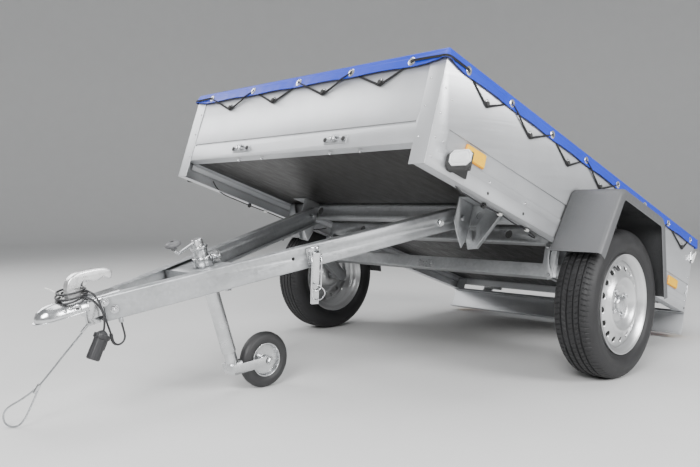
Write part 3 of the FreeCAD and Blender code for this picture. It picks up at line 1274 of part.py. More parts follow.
def jockey_pieces():
    """Pieces of the jockey wheel by name, in the jockey frame."""
    return {
        "jockey_tube": jockey_tube(),
        "jockey_crank": jockey_crank(),
        "crank_knob": crank_knob(),
        "jockey_nut": jockey_nut(),
        "jockey_leg": jockey_leg(),
        "jockey_tyre": jockey_tyre(),
        "jockey_rim": jockey_rim(),
    }


CORD_NAMES = ("lead_coil", "lead_feed", "lead_drop", "safety_rope")


def trailer_pieces():
    """Every piece by name over the ground, with the origin under the wheel axis."""
    placed = {}
    groups = (
        (bed_pieces, bed_placement()), (drawbar_pieces, drawbar_placement()),
        (jockey_pieces, jockey_placement()),
    )
    for make, placement in groups:
        for name, shape in make().items():
            shape.Placement = placement.multiply(shape.Placement)
            placed[name] = shape
    placed["safety_rope"] = cord_tube(ROPE_ROUTE, ROPE_DIAMETER)
    return placed


def origin_shift(placed):
    """Move that puts the origin at the middle of the rigid pieces' footprint."""
    boxes = [shape.optimalBoundingBox() for name, shape in placed.items() if name not in CORD_NAMES]
    low = min(box.YMin for box in boxes)
    high = max(box.YMax for box in boxes)
    return Vector(0, -(low + high) / 2, 0)


def main():
    """Write one file per piece."""
    os.makedirs("parts", exist_ok=True)
    placed = trailer_pieces()
    shift = origin_shift(placed)
    print(f"shift {shift.y:.3f}, pieces {len(placed)}")
    for name, shape in placed.items():
        shape.translate(shift)
        shape.exportStep(f"parts/{name}.step")


if __name__ == "__main__":
    main()
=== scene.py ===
"""Looks of a tipping box trailer that stands on its jockey wheel with the bed tipped back."""

import json
import logging
import math
from dataclasses import dataclass, field, replace
from enum import Enum
from typing import Iterable, Sequence

import bmesh
import bpy
import numpy as np
from mathutils import Matrix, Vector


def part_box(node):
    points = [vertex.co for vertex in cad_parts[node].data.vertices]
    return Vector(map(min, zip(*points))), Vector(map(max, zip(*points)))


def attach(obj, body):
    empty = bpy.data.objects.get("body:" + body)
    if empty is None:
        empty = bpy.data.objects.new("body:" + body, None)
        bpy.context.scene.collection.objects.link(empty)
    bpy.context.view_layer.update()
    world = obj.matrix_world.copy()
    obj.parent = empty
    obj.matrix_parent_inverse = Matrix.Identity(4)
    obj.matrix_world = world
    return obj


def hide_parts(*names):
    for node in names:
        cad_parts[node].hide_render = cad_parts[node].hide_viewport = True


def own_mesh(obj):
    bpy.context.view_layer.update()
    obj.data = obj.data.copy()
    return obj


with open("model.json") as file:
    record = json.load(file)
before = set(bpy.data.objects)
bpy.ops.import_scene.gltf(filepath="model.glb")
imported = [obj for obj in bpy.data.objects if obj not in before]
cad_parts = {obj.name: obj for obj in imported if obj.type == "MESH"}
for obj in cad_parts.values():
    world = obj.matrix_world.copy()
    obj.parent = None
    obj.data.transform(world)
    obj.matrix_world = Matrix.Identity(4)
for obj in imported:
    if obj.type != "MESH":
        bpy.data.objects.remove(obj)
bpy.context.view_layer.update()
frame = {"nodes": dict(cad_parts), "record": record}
LOG = logging.getLogger("trailer")
Array = np.ndarray
TAU = 2 * math.pi
RECORD = frame["record"]
BODY_OF = {node: body for body, nodes in RECORD["behaviour"]["bodies"].items() for node in nodes}
SLOT_OF = {part["node"]: part["material_slot"] for part in RECORD["subparts"]}


@dataclass(frozen=True)
class TippedFrame:
    """A working frame in millimetres, turned about the trailer's X axis.

    A point's y and z are turned by the pitch, and then the base is added.
    """

    base: tuple[float, float, float]
    pitch_deg: float

    @property
    def turn(self) -> Array:
        """Rotation about X as a 3 by 3 matrix."""
        cos, sin = math.cos(math.radians(self.pitch_deg)), math.sin(math.radians(self.pitch_deg))
        return np.array([[1, 0, 0], [0, cos, -sin], [0, sin, cos]])

    def world(self, points: Array | Sequence) -> Array:
        """Points of this frame in metres over the ground."""
        return (np.asarray(points, float) @ self.turn.T + np.array(self.base)) / 1000


ORIGIN_SHIFT = 337.865
WHEEL_RADIUS = 273.5
GROUND = TippedFrame((0.0, ORIGIN_SHIFT, 0.0), 0.0)
BED = TippedFrame((0.0, ORIGIN_SHIFT, WHEEL_RADIUS), -18.64)
PIVOT = BED.world([0, -500, 163.2]) * 1000
BAR_TURN = TippedFrame((0.0, 0.0, 0.0), 11.85)
BAR = TippedFrame(tuple(PIVOT - BAR_TURN.world([0, 1205, 37]) * 1000), 11.85)


@dataclass(frozen=True)
class Surface:
    """Points of a piece and the blocks of faces between them.

    Each block is an array of index rows. The corners beside it hold, for each corner of each face, its place
    on the unrolled surface in metres.
    """

    points: Array
    blocks: tuple[Array, ...]
    corners: tuple[Array, ...]

    def moved(self, x: float = 0, y: float = 0, z: float = 0) -> "Surface":
        """The surface shifted by a vector."""
        return replace(self, points=self.points + np.array([x, y, z], float))

    def turned(self, matrix: Array) -> "Surface":
        """The surface with every point multiplied by a matrix."""
        return replace(self, points=self.points @ np.asarray(matrix, float).T)

    def on_side(self, side: int) -> "Surface":
        """The surface as drawn for side 1, and on the other side of the plane x = 0 for side -1."""
        return replace(self, points=self.points * np.array([side, 1, 1]))


def joined(parts: Iterable[Surface]) -> Surface:
    """Several surfaces as one, each keeping its own points.

    Args:
        parts: the surfaces.

    Returns:
        One surface with all their blocks.
    """
    parts = list(parts)
    starts = np.cumsum([0] + [len(part.points) for part in parts])
    blocks = tuple(block + start for part, start in zip(parts, starts) for block in part.blocks)
    corners = tuple(corner for part in parts for corner in part.corners)
    return Surface(np.concatenate([part.points for part in parts]), blocks, corners)


def mean_run(grid: Array, axis: int) -> Array:
    """Mean length in metres from the first row (axis 0) or column (axis 1) of a millimetre grid to each."""
    step = np.linalg.norm(np.diff(grid, axis=axis), axis=-1).mean(1 - axis) / 1000
    return np.concatenate([[0.0], np.cumsum(step)])


def cells(grid: Array) -> Array:
    """The four corners of each cell between the rows and columns of a grid, one row per cell."""
    around = [grid[:-1, :-1], grid[1:, :-1], grid[1:, 1:], grid[:-1, 1:]]
    return np.stack(around, 2).reshape((-1, 4) + grid.shape[2:])


def grid_surface(points: Array, wrap_u: bool = False, wrap_v: bool = False, caps: bool = False) -> Surface:
    """Four-sided faces between the rows and columns of a grid of points.

    Args:
        points: array of rows by columns by three.
        wrap_u: whether the last row meets the first.
        wrap_v: whether the last column meets the first.
        caps: whether the first and last rows are closed by one face each.

    Returns:
        The surface, its points in the grid's order.
    """
    rows, columns = points.shape[:2]
    index = np.arange(rows * columns).reshape(rows, columns)
    ends = (index[:1].copy(), index[-1:, ::-1].copy())
    if wrap_u:
        index = np.vstack([index, index[:1]])
    if wrap_v:
        index = np.hstack([index, index[:, :1]])
    flat = points.reshape(-1, 3).astype(float)
    laid = flat[index]
    unrolled = np.stack(np.broadcast_arrays(mean_run(laid, 0)[:, None], mean_run(laid, 1)[None]), -1)
    blocks, corners = (cells(index),), (cells(unrolled),)
    if caps:
        blocks, corners = blocks + ends, corners + tuple(flat[end][..., :2] / 1000 for end in ends)
    return Surface(flat, blocks, corners)


def aim(direction: Sequence[float], up: Sequence[float] = (0, 0, 1)) -> Array:
    """Matrix whose third column is the direction and whose second leans towards up.

    Args:
        direction: where the local z axis goes.
        up: where the local y axis leans to.

    Returns:
        The 3 by 3 turn.
    """
    z = np.asarray(direction, float) / np.linalg.norm(direction)
    x = np.cross(np.asarray(up, float), z)
    x = x / np.linalg.norm(x) if np.linalg.norm(x) > 1e-6 else np.array([1.0, 0, 0])
    return np.stack([x, np.cross(z, x), z], 1)


ALONG_X = aim((1, 0, 0))
ALONG_MINUS_X = aim((-1, 0, 0))
ALONG_Y = aim((0, 1, 0))
ALONG_MINUS_Z = aim((0, 0, -1), (0, 1, 0))
UPRIGHT = np.array([[0, 0, 1], [1, 0, 0], [0, 1, 0]])


def lathe(profile: Sequence, steps: int = 32, ring: bool = False) -> Surface:
    """Surface turned about Z: each (radius, height) of the profile goes round as (r cos a, r sin a, h).

    Args:
        profile: rows of radius and height.
        steps: points round the circle.
        ring: whether the profile itself is a closed line.

    Returns:
        The turned surface; a profile that ends at radius zero closes at a pole.
    """
    line = np.asarray(profile, float)
    angle = np.arange(steps) * TAU / steps
    radius, height = line[:, 0, None], line[:, 1, None]
    points = np.stack([radius * np.cos(angle), radius * np.sin(angle), height + 0 * angle], -1)
    return grid_surface(points, wrap_u=ring, wrap_v=True)


def circle(radius: float, steps: int = 12) -> Array:
    """Points of a circle, going round once."""
    angle = np.arange(steps) * TAU / steps
    return radius * np.stack([np.cos(angle), np.sin(angle)], -1)


def curve_through(points: Sequence, per_span: int = 8, closed: bool = False) -> Array:
    """Smooth line through points: on each span the cubic whose end slopes are half the chord round each end.

    Args:
        points: rows of two or three coordinates.
        per_span: points made on each span.
        closed: whether the line comes back to its first point.

    Returns:
        The points of the line.
    """
    knots = np.asarray(points, float)
    if closed:
        knots = np.vstack([knots[-1:], knots, knots[:2]])
    else:
        knots = np.vstack([2 * knots[:1] - knots[1:2], knots, 2 * knots[-1:] - knots[-2:-1]])
    a, b, c, d = knots[:-3, None], knots[1:-2, None], knots[2:-1, None], knots[3:, None]
    t = (np.arange(per_span) / per_span)[None, :, None]
    line = 0.5 * (2 * b + (c - a) * t + (2 * a - 5 * b + 4 * c - d) * t**2 + (3 * b - a - 3 * c + d) * t**3)
    line = line.reshape(-1, knots.shape[1])
    return line if closed else np.vstack([line, knots[-2:-1]])


def sweep(
    path: Array, section: Array, closed: bool = False, up: Sequence[float] = (0, 0, 1),
    scale: Array | None = None,
) -> Surface:
    """A section carried along a path, square to it: path + across * a + over * b at each station.

    Across is up crossed with the path's direction, and over is the direction crossed with across.

    Args:
        path: rows of three coordinates.
        section: closed outline, rows of two.
        closed: whether the path is a loop.
        up: direction that is never along the path.
        scale: size of the section at each station.

    Returns:
        The tube, closed at its ends when the path isn't a loop.
    """
    if closed:
        tangent = np.roll(path, -1, 0) - np.roll(path, 1, 0)
    else:
        tangent = np.gradient(path, axis=0)
    tangent = tangent / np.linalg.norm(tangent, axis=1)[:, None]
    across = np.cross(np.asarray(up, float), tangent)
    across = across / np.linalg.norm(across, axis=1)[:, None]
    over = np.cross(tangent, across)
    size = np.ones(len(path)) if scale is None else np.asarray(scale, float)
    outline = section[None] * size[:, None, None]
    points = path[:, None] + outline[..., :1] * across[:, None] + outline[..., 1:] * over[:, None]
    return grid_surface(points, wrap_u=closed, wrap_v=True, caps=not closed)


def inset_outline(outline: Array, distance: float) -> Array:
    """A counter-clockwise outline moved inwards along the halved corner angles.

    Args:
        outline: the outline's points.
        distance: how far its edges move.

    Returns:
        The moved points.
    """
    edge = np.roll(outline, -1, 0) - outline
    edge = edge / np.linalg.norm(edge, axis=1)[:, None]
    inward = np.stack([-edge[:, 1], edge[:, 0]], -1)
    before = np.roll(inward, 1, 0)
    lean = 1 + (inward * before).sum(1)
    return outline + distance * (inward + before) / np.maximum(lean, 0.3)[:, None]


def rounded_outline(points: Sequence, radius: float | Sequence[float], steps: int = 5) -> Array:
    """A counter-clockwise outline with each corner replaced by an arc.

    The arc's centre lies on the corner's bisector, radius / sin(half angle) from the corner.

    Args:
        points: the corners.
        radius: radius of the arcs, one for all or one for each corner.
        steps: points on each arc.

    Returns:
        The outline's points.
    """
    corner = np.asarray(points, float)
    size = np.broadcast_to(np.asarray(radius, float), (len(corner),))[:, None]
    back = np.roll(corner, 1, 0) - corner
    ahead = np.roll(corner, -1, 0) - corner
    back, ahead = (v / np.linalg.norm(v, axis=1)[:, None] for v in (back, ahead))
    half = np.arccos(np.clip((back * ahead).sum(1), -1, 1))[:, None] / 2
    bisector = back + ahead
    bisector = bisector / np.linalg.norm(bisector, axis=1)[:, None]
    centre = corner + bisector * size / np.sin(half)
    first, last = (corner + v * size / np.tan(half) - centre for v in (back, ahead))
    start = np.arctan2(first[:, 1], first[:, 0])[:, None]
    turn = np.arctan2(last[:, 1], last[:, 0])[:, None] - start
    turn = (turn + math.pi) % TAU - math.pi
    angle = start + turn * np.linspace(0, 1, steps)
    arc = centre[:, None] + size[:, None] * np.stack([np.cos(angle), np.sin(angle)], -1)
    return arc.reshape(-1, 2)


def stepped(outline: Array, steps: Sequence) -> Surface:
    """A closed piece whose outline is inset by so much at each height: steps are rows of inset and height."""
    rings = [np.column_stack([inset_outline(outline, inset), np.full(len(outline), z)]) for inset, z in steps]
    return grid_surface(np.stack(rings), wrap_v=True, caps=True)


def plate(outline: Array, thickness: float, bevel: float = 0.6) -> Surface:
    """A flat piece from z = 0 up: its outline with a small slope at both rims."""
    return stepped(outline, ((bevel, 0), (0, bevel), (0, thickness - bevel), (bevel, thickness)))


def cushion_plate(outline: Array, thickness: float, radius: float, steps: int = 5) -> Surface:
    """A flat piece whose two rims are quarter rounds: inset and rise follow one minus the sine and cosine.

    Args:
        outline: the piece's outline.
        thickness: its thickness.
        radius: radius of the quarter rounds.
        steps: points on each of them.

    Returns:
        The piece, its back on z = 0.
    """
    turn = np.linspace(0, math.pi / 2, steps)
    low = [(radius * (1 - math.sin(t)), radius * (1 - math.cos(t))) for t in turn]
    return stepped(outline, low + [(inset, thickness - rise) for inset, rise in low[::-1]])


def slab(width: float, depth: float, height: float, corner: float = 2.0, bevel: float = 0.8) -> Surface:
    """A block with rounded upright edges, centred on the origin in x and y, standing on z = 0."""
    x, y = width / 2, depth / 2
    return plate(rounded_outline([(-x, -y), (x, -y), (x, y), (-x, y)], corner), height, bevel)


def hex_nut(across: float, height: float) -> Surface:
    """A six-sided head with its corners chamfered."""
    return plate(circle(across / 2 / math.cos(math.pi / 6), 6), height, height * 0.12)


def bolt_head(size: float) -> Surface:
    """Washer, six-sided head and the rounded end of the shank, standing on z = 0.

    Args:
        size: thread diameter; the head is 1.6 times as wide and 0.65 times as high.
    """
    washer = lathe(size * np.array([(0, 0), (1.05, 0), (1.1, 0.08), (1.05, 0.16), (0, 0.16)]), 20)
    stud = lathe(size * np.array([(0.5, 0), (0.5, 0.95), (0.38, 1.05), (0, 1.05)]), 14)
    return joined([washer, hex_nut(size * 1.6, size * 0.65).moved(z=size * 0.16), stud])


def rivet_head(radius: float) -> Surface:
    """A low dome standing on z = 0: height falls with the square of the radius."""
    share = np.array([1.0, 0.96, 0.8, 0.55, 0.25, 0])
    return lathe(np.column_stack([share * radius, (1 - share**2) * radius * 0.55 + (share < 1) * 0.1]), 16)


class Grain(Enum):
    """Kinds of fine structure that a finish can have."""

    SATIN = "rolled and coated sheet"
    SPANGLE = "hot-dip zinc with faint crystals"
    PLATED = "bright zinc over pressed or drawn steel"
    PAINT = "sprayed paint"
    MOULDED = "moulded plastic with a leathery skin"
    RUBBER = "vulcanised rubber"
    CLOTH = "coated woven cloth"
    FILM = "film-faced plywood with a pressed mesh"
    PRISM = "moulded prisms under a clear face"
    STRAND = "drawn wire"


@dataclass(frozen=True)
class Finish:
    """Colour, gloss and grain of one kind of surface."""

    name: str
    colour: tuple[float, float, float]
    grain: Grain
    roughness: float = 0.5
    metallic: float = 0.0
    spread: float = 0.1
    scale: float = 60.0
    relief: float = 1.0
    coat: float = 0.0
    # painted shade in seams and corners, and paler rubbed edges: how much, and how far the seam shade reaches
    # in metres
    wear: float = 0.0
    wear_reach: float = 0.012

    def material(self) -> bpy.types.Material:
        """The Blender material of this finish, made once."""
        found = bpy.data.materials.get(self.name)
        return found if found else _MaterialMaker(self).make()


class _MaterialMaker:
    """Builds the nodes of one finish from Object coordinates to the shader."""

    def __init__(self, finish: Finish) -> None:
        """Starts an empty material.

        Args:
            finish: the finish to build.
        """
        self.finish = finish
        self.material = bpy.data.materials.new(finish.name)
        self.material.use_nodes = True
        self.tree = self.material.node_tree
        self.shader = self.tree.nodes["Principled BSDF"]
        self.place = self.tree.nodes.new("ShaderNodeTexCoord").outputs["Object"]

    def node(self, kind: str, settings: dict | None = None, **inputs: object) -> bpy.types.Node:
        """Adds a node.

        Args:
            kind: node type without its ShaderNode prefix.
            settings: properties of the node.
            **inputs: sockets by name with underscores for spaces, as values or as output sockets.

        Returns:
            The node.
        """
        made = self.tree.nodes.new("ShaderNode" + kind)
        for key, value in (settings or {}).items():
            setattr(made, key, value)
        for key, value in inputs.items():
            numbered = key[0] == "i" and key[1:].isdigit()
            socket = made.inputs[int(key[1:]) if numbered else key.replace("_", " ")]
            if isinstance(value, bpy.types.NodeSocket):
                self.tree.links.new(value, socket)
            else:
                socket.default_value = value
        return made

    def noise(
        self, scale: float, detail: float = 3.0, rough: float = 0.5, place: object = None,
    ) -> bpy.types.NodeSocket:
        """Noise from 0 to 1 at a scale per metre."""
        made = self.node("TexNoise", Vector=place or self.place, Scale=scale, Detail=detail, Roughness=rough)
        return made.outputs["Fac"]

    def stretched(self, x: float, y: float, z: float) -> bpy.types.NodeSocket:
        """Object coordinates scaled on each axis."""
        return self.node("Mapping", Vector=self.place, Scale=(x, y, z)).outputs["Vector"]

    def crossed(
        self, place: object, profile: str, scale: float, operation: str, **more: float,
    ) -> bpy.types.NodeSocket:
        """Two sets of bands, one along each of the first two axes, joined into one grey.

        Args:
            place: coordinates that the bands read.
            profile: shape of a band, as Blender names it.
            scale: bands per unit.
            operation: how the two greys are joined.
            **more: other inputs of the bands.

        Returns:
            The socket of the joined grey.
        """
        sets = [
            self.node(
                "TexWave", {"wave_type": "BANDS", "bands_direction": axis, "wave_profile": profile},
                Vector=place, Scale=scale, **more,
            ).outputs["Fac"]
            for axis in ("X", "Y")
        ]
        return self.node("Math", {"operation": operation}, i0=sets[0], i1=sets[1]).outputs[0]

    def ranged(
        self, value: object, low: float, high: float, first: float, last: float,
    ) -> bpy.types.NodeSocket:
        """A value's span carried over to another span."""
        made = self.node("MapRange", Value=value, From_Min=low, From_Max=high, To_Min=first, To_Max=last)
        return made.outputs["Result"]

    def tint(self, pattern: object, lighter: float, low: float = 0.3, high: float = 0.7) -> None:
        """Colours the shader from a darker shade of the finish's colour to a lighter one.

        Args:
            pattern: the grey that chooses the shade.
            lighter: what the lighter shade is multiplied by; the darker one takes one less the spread.
            low: the grey that gets the darker shade.
            high: the grey that gets the lighter shade.
        """
        share = self.ranged(pattern, low, high, 0.0, 1.0)
        dark = tuple(c * (1 - self.finish.spread) for c in self.finish.colour) + (1,)
        pale = tuple(min(1, c * lighter) for c in self.finish.colour) + (1,)
        made = self.node("Mix", {"data_type": "RGBA"}, Factor=share, i6=dark, i7=pale)
        self.tree.links.new(made.outputs[2], self.shader.inputs["Base Color"])

    def gloss(self, factor: object, spread: float) -> None:
        """Spreads the roughness round its value.

        Args:
            factor: pattern from 0 to 1.
            spread: how far the roughness goes to either side.
        """
        rough = self.finish.roughness
        out = self.ranged(factor, 0.3, 0.7, max(0.02, rough - spread), min(1, rough + spread))
        self.tree.links.new(out, self.shader.inputs["Roughness"])

    def relief(self, height: object, depth_mm: float) -> None:
        """Bumps the surface, and adds to a bump that is already there.

        Args:
            height: pattern from 0 to 1.
            depth_mm: the pattern's height in millimetres, for a finish with relief 1.
        """
        before = self.shader.inputs["Normal"].links
        made = self.node("Bump", Height=height, Distance=depth_mm * self.finish.relief / 1000, Strength=1.0)
        if before:
            self.tree.links.new(before[0].from_socket, made.inputs["Normal"])
        self.tree.links.new(made.outputs["Normal"], self.shader.inputs["Normal"])

    def make(self) -> bpy.types.Material:
        """Sets the constants on the shader's own sockets and adds the grain."""
        finish, inputs = self.finish, self.shader.inputs
        inputs["Base Color"].default_value = (*finish.colour, 1)
        inputs["Roughness"].default_value = finish.roughness
        inputs["Metallic"].default_value = finish.metallic
        inputs["Coat Weight"].default_value = finish.coat
        inputs["Coat Roughness"].default_value = 0.12
        getattr(self, "_" + finish.grain.name.lower())()
        # painted shade in seams and corners, and paler rubbed edges
        if finish.wear:
            self.aged(finish.wear)
        return self.material

    def aged(self, amount: float) -> None:
        """Paints shade into seams and corners, where ambient occlusion finds them, and makes the outer edges
        paler as rubbed wear.

        Args:
            amount: share of the colour that the painted shade takes from a seam.
        """
        # painted shade: ambient occlusion within the reach darkens seams, corners and hollows
        seam_shade = self.node("AmbientOcclusion", {"samples": 4}, Distance=self.finish.wear_reach).outputs["AO"]
        inside = {"samples": 4, "inside": True, "only_local": True}
        edge = self.node("AmbientOcclusion", inside, Distance=0.003)
        dark = self.ranged(seam_shade, 0.35, 0.95, 1 - amount, 1.0)
        pale = self.ranged(edge.outputs["AO"], 0.3, 0.85, 1 + 0.4 * amount, 1.0)
        both = self.node("Math", {"operation": "MULTIPLY"}, i0=dark, i1=pale).outputs[0]
        base = self.shader.inputs["Base Color"].links[0].from_socket
        shade = self.node("VectorMath", {"operation": "SCALE"}, i0=base, Scale=both)
        self.tree.links.new(shade.outputs[0], self.shader.inputs["Base Color"])

    def _satin(self) -> None:
        """Cloudy shade, rolling lines along the trailer and a very fine tooth."""
        cloud = self.noise(7.0, 2.0)
        lines = self.noise(1.0, 2.0, place=self.stretched(260, 3, 260))
        self.tint(cloud, 1 + self.finish.spread / 2)
        self.gloss(lines, 0.05)
        self.relief(self.noise(900.0, 2.0), 0.012)
        self.relief(self.noise(3.2, 1.0), 0.5)

    def _spangle(self) -> None:
        """Flat crystals of different shades: each cell of a cell pattern takes its own grey."""
        cells = self.node("TexVoronoi", Vector=self.place, Scale=self.finish.scale, Randomness=1.0)
        grey = self.node("RGBToBW", Color=cells.outputs["Color"]).outputs["Val"]
        cloud = self.noise(9.0, 4.0, 0.6)
        both = self.node("Math", {"operation": "MULTIPLY_ADD"}, i0=grey, i1=0.45, i2=cloud).outputs[0]
        self.tint(both, 1 + self.finish.spread, 0.4, 1.0)
        self.gloss(self.ranged(both, 0.4, 1.0, 0.3, 0.7), 0.1)
        self.relief(self.noise(380.0, 3.0), 0.03)

    def _plated(self) -> None:
        """Slight cloud in shade and gloss and the soft waves of pressed steel."""
        cloud = self.noise(26.0, 4.0, 0.6)
        self.tint(cloud, 1.04)
        self.gloss(cloud, 0.08)
        self.relief(self.noise(520.0, 3.0), 0.02)

    def _paint(self) -> None:
        """Orange-peel waves and a little flake."""
        flake = self.node("TexVoronoi", Vector=self.place, Scale=1600.0).outputs["Distance"]
        self.tint(flake, 1.05, 0.0, 0.9)
        self.gloss(self.noise(40.0, 2.0), 0.04)
        self.relief(self.noise(300.0, 1.0), 0.03)

    def _moulded(self) -> None:
        """Leathery cells with softened edges over a faint cloud."""
        size = self.finish.scale * 12
        cells = self.node("TexVoronoi", {"feature": "SMOOTH_F1"}, Vector=self.place, Scale=size)
        cloud = self.noise(5.0, 2.0)
        self.tint(cloud, 1 + self.finish.spread)
        self.gloss(self.noise(60.0, 3.0), 0.06)
        self.relief(cells.outputs["Distance"], 0.09)

    def _rubber(self) -> None:
        """Dusty black with a fine pebble."""
        dust = self.noise(14.0, 5.0, 0.65)
        self.tint(dust, 1 + self.finish.spread * 2, 0.35, 0.75)
        self.gloss(dust, 0.09)
        self.relief(self.noise(700.0, 3.0), 0.05)

    def _cloth(self) -> None:
        """Two crossed sets of ribs at the yarn's pitch under a coating, with soft creases."""
        yarn = self.finish.scale * 10
        laid = self.tree.nodes.new("ShaderNodeTexCoord").outputs["UV"]
        weave = self.crossed(laid, "SIN", yarn / TAU, "MULTIPLY", Distortion=0.4)
        cloud = self.noise(6.0, 4.0, 0.6)
        self.tint(cloud, 1 + self.finish.spread)
        self.gloss(cloud, 0.08)
        self.relief(weave, 0.12)
        self.relief(self.noise(11.0, 3.0, 0.55), 1.6)

    def _film(self) -> None:
        """A pressed wire mesh: the larger of two sets of bands, with a faint grain of the wood below."""
        both = self.crossed(self.place, "TRI", self.finish.scale, "MAXIMUM")
        wood = self.noise(1.0, 4.0, place=self.stretched(45, 2.5, 45))
        self.tint(wood, 1 + self.finish.spread)
        self.gloss(wood, 0.08)
        self.relief(both, 0.15)

    def _prism(self) -> None:
        """Small cube corners seen through a clear face, as a cell pattern's slopes."""
        square = {"feature": "F1", "distance": "MANHATTAN"}
        cells = self.node("TexVoronoi", square, Vector=self.place, Scale=self.finish.scale * 5)
        self.tint(cells.outputs["Distance"], 1 + self.finish.spread, 0.8, 0.0)
        self.relief(cells.outputs["Distance"], 0.35)

    def _strand(self) -> None:
        """Small changes of shade along drawn wire."""
        cloud = self.noise(160.0, 3.0)
        self.tint(cloud, 1.05)
        self.gloss(cloud, 0.08)


# the finishes below that darken their seams and corners do it with painted shade from ambient occlusion
ZINC_SHEET = Finish("zinc_sheet_satin", (0.56, 0.57, 0.585), Grain.SATIN, 0.42, 0.7, spread=0.06, wear=0.55)
ZINC_SECTION = Finish(
    "zinc_section", (0.44, 0.45, 0.46), Grain.SPANGLE, 0.40, 0.85, spread=0.13, scale=95.0, wear=0.5,
)
BRIGHT_ZINC = Finish(
    "bright_zinc_plating", (0.68, 0.69, 0.70), Grain.PLATED, 0.24, 0.95, spread=0.14, wear=0.5,
)
CAST_LEVER = Finish("lever_zinc", (0.74, 0.74, 0.74), Grain.PLATED, 0.30, 0.85, spread=0.08, wear=0.4)
EYELET_STEEL = Finish("eyelet_nickel", (0.80, 0.80, 0.79), Grain.PLATED, 0.22, 0.95, spread=0.08)
AMBER_DEEP = Finish("amber_body", (0.80, 0.33, 0.008), Grain.MOULDED, 0.35, spread=0.08)
RIM_SILVER = Finish(
    "rim_silver_paint", (0.62, 0.625, 0.63), Grain.PAINT, 0.32, 0.75, spread=0.05, coat=0.25, wear=0.35,
)
TYRE_BLACK = Finish("tyre_black", (0.013, 0.013, 0.014), Grain.RUBBER, 0.60, spread=0.25)
VENT_DARK = Finish("vent_shade", (0.006, 0.006, 0.006), Grain.RUBBER, 0.9, spread=0.1)
WHEEL_RUBBER = Finish("jockey_rubber", (0.022, 0.022, 0.023), Grain.RUBBER, 0.55, spread=0.2)
# the long reach paints shade over the whole inside of the guard
GUARD_GREY = Finish(
    "guard_grey", (0.098, 0.100, 0.104), Grain.MOULDED, 0.5, spread=0.05, wear=0.8, wear_reach=0.16,
)
KNOB_GREY = Finish("knob_grey", (0.11, 0.11, 0.115), Grain.MOULDED, 0.5, spread=0.05, wear=0.3)
BLACK_PLASTIC = Finish("black_plastic", (0.012, 0.012, 0.013), Grain.MOULDED, 0.42, spread=0.1)
PLUG_BLACK = Finish("plug_black", (0.022, 0.022, 0.024), Grain.MOULDED, 0.45, spread=0.1)
CABLE_BLACK = Finish("cable_black", (0.022, 0.022, 0.024), Grain.RUBBER, 0.4, spread=0.15)
ELASTIC_BLACK = Finish("elastic_black", (0.012, 0.012, 0.013), Grain.CLOTH, 0.7, spread=0.2, scale=150.0)
WHITE_LENS = Finish("white_lens", (0.86, 0.87, 0.88), Grain.PRISM, 0.16, spread=0.05, scale=60.0, coat=0.6)
RED_LENS = Finish("red_lens", (0.50, 0.012, 0.010), Grain.PRISM, 0.16, spread=0.2, scale=60.0, coat=0.6)
AMBER_LENS = Finish("amber_lens", (1.0, 0.54, 0.0), Grain.PRISM, 0.55, spread=0.1, scale=60.0)
# dark brown-black like film-faced plywood, and darker still as painted shade of the bed's underside
PLY_FILM = Finish("ply_film", (0.008, 0.007, 0.006), Grain.FILM, 0.42, spread=0.2, scale=90.0, wear=0.4)
TARP_BLUE = Finish("tarp_blue", (0.012, 0.045, 0.50), Grain.CLOTH, 0.44, spread=0.05, scale=60.0)
ROPE_WIRE = Finish("rope_wire", (0.30, 0.31, 0.32), Grain.STRAND, 0.35, 0.45, spread=0.25)
PLATE_BARE = Finish("type_plate", (0.50, 0.51, 0.52), Grain.SATIN, 0.3, 0.9, spread=0.05)
FLOOR_PALE = Finish("floor_pale", (0.68, 0.68, 0.675), Grain.MOULDED, 0.7, spread=0.01, relief=0.2)
WHITE_NYLON = Finish("white_nylon", (0.78, 0.78, 0.76), Grain.MOULDED, 0.4, spread=0.04)

SLOT_FINISH = {
    "zinc_sheet": ZINC_SHEET, "zinc_dark": ZINC_SECTION, "bright_zinc": BRIGHT_ZINC, "rim_silver": RIM_SILVER,
    "tyre_rubber": TYRE_BLACK, "solid_rubber": WHEEL_RUBBER, "guard_plastic": GUARD_GREY,
    "grip_plastic": KNOB_GREY, "black_plastic": BLACK_PLASTIC, "lamp_plastic": WHITE_LENS,
    "rear_lens": RED_LENS, "plywood": PLY_FILM, "cover_cloth": TARP_BLUE, "rope_steel": ROPE_WIRE,
    "cable_jacket": CABLE_BLACK,
}


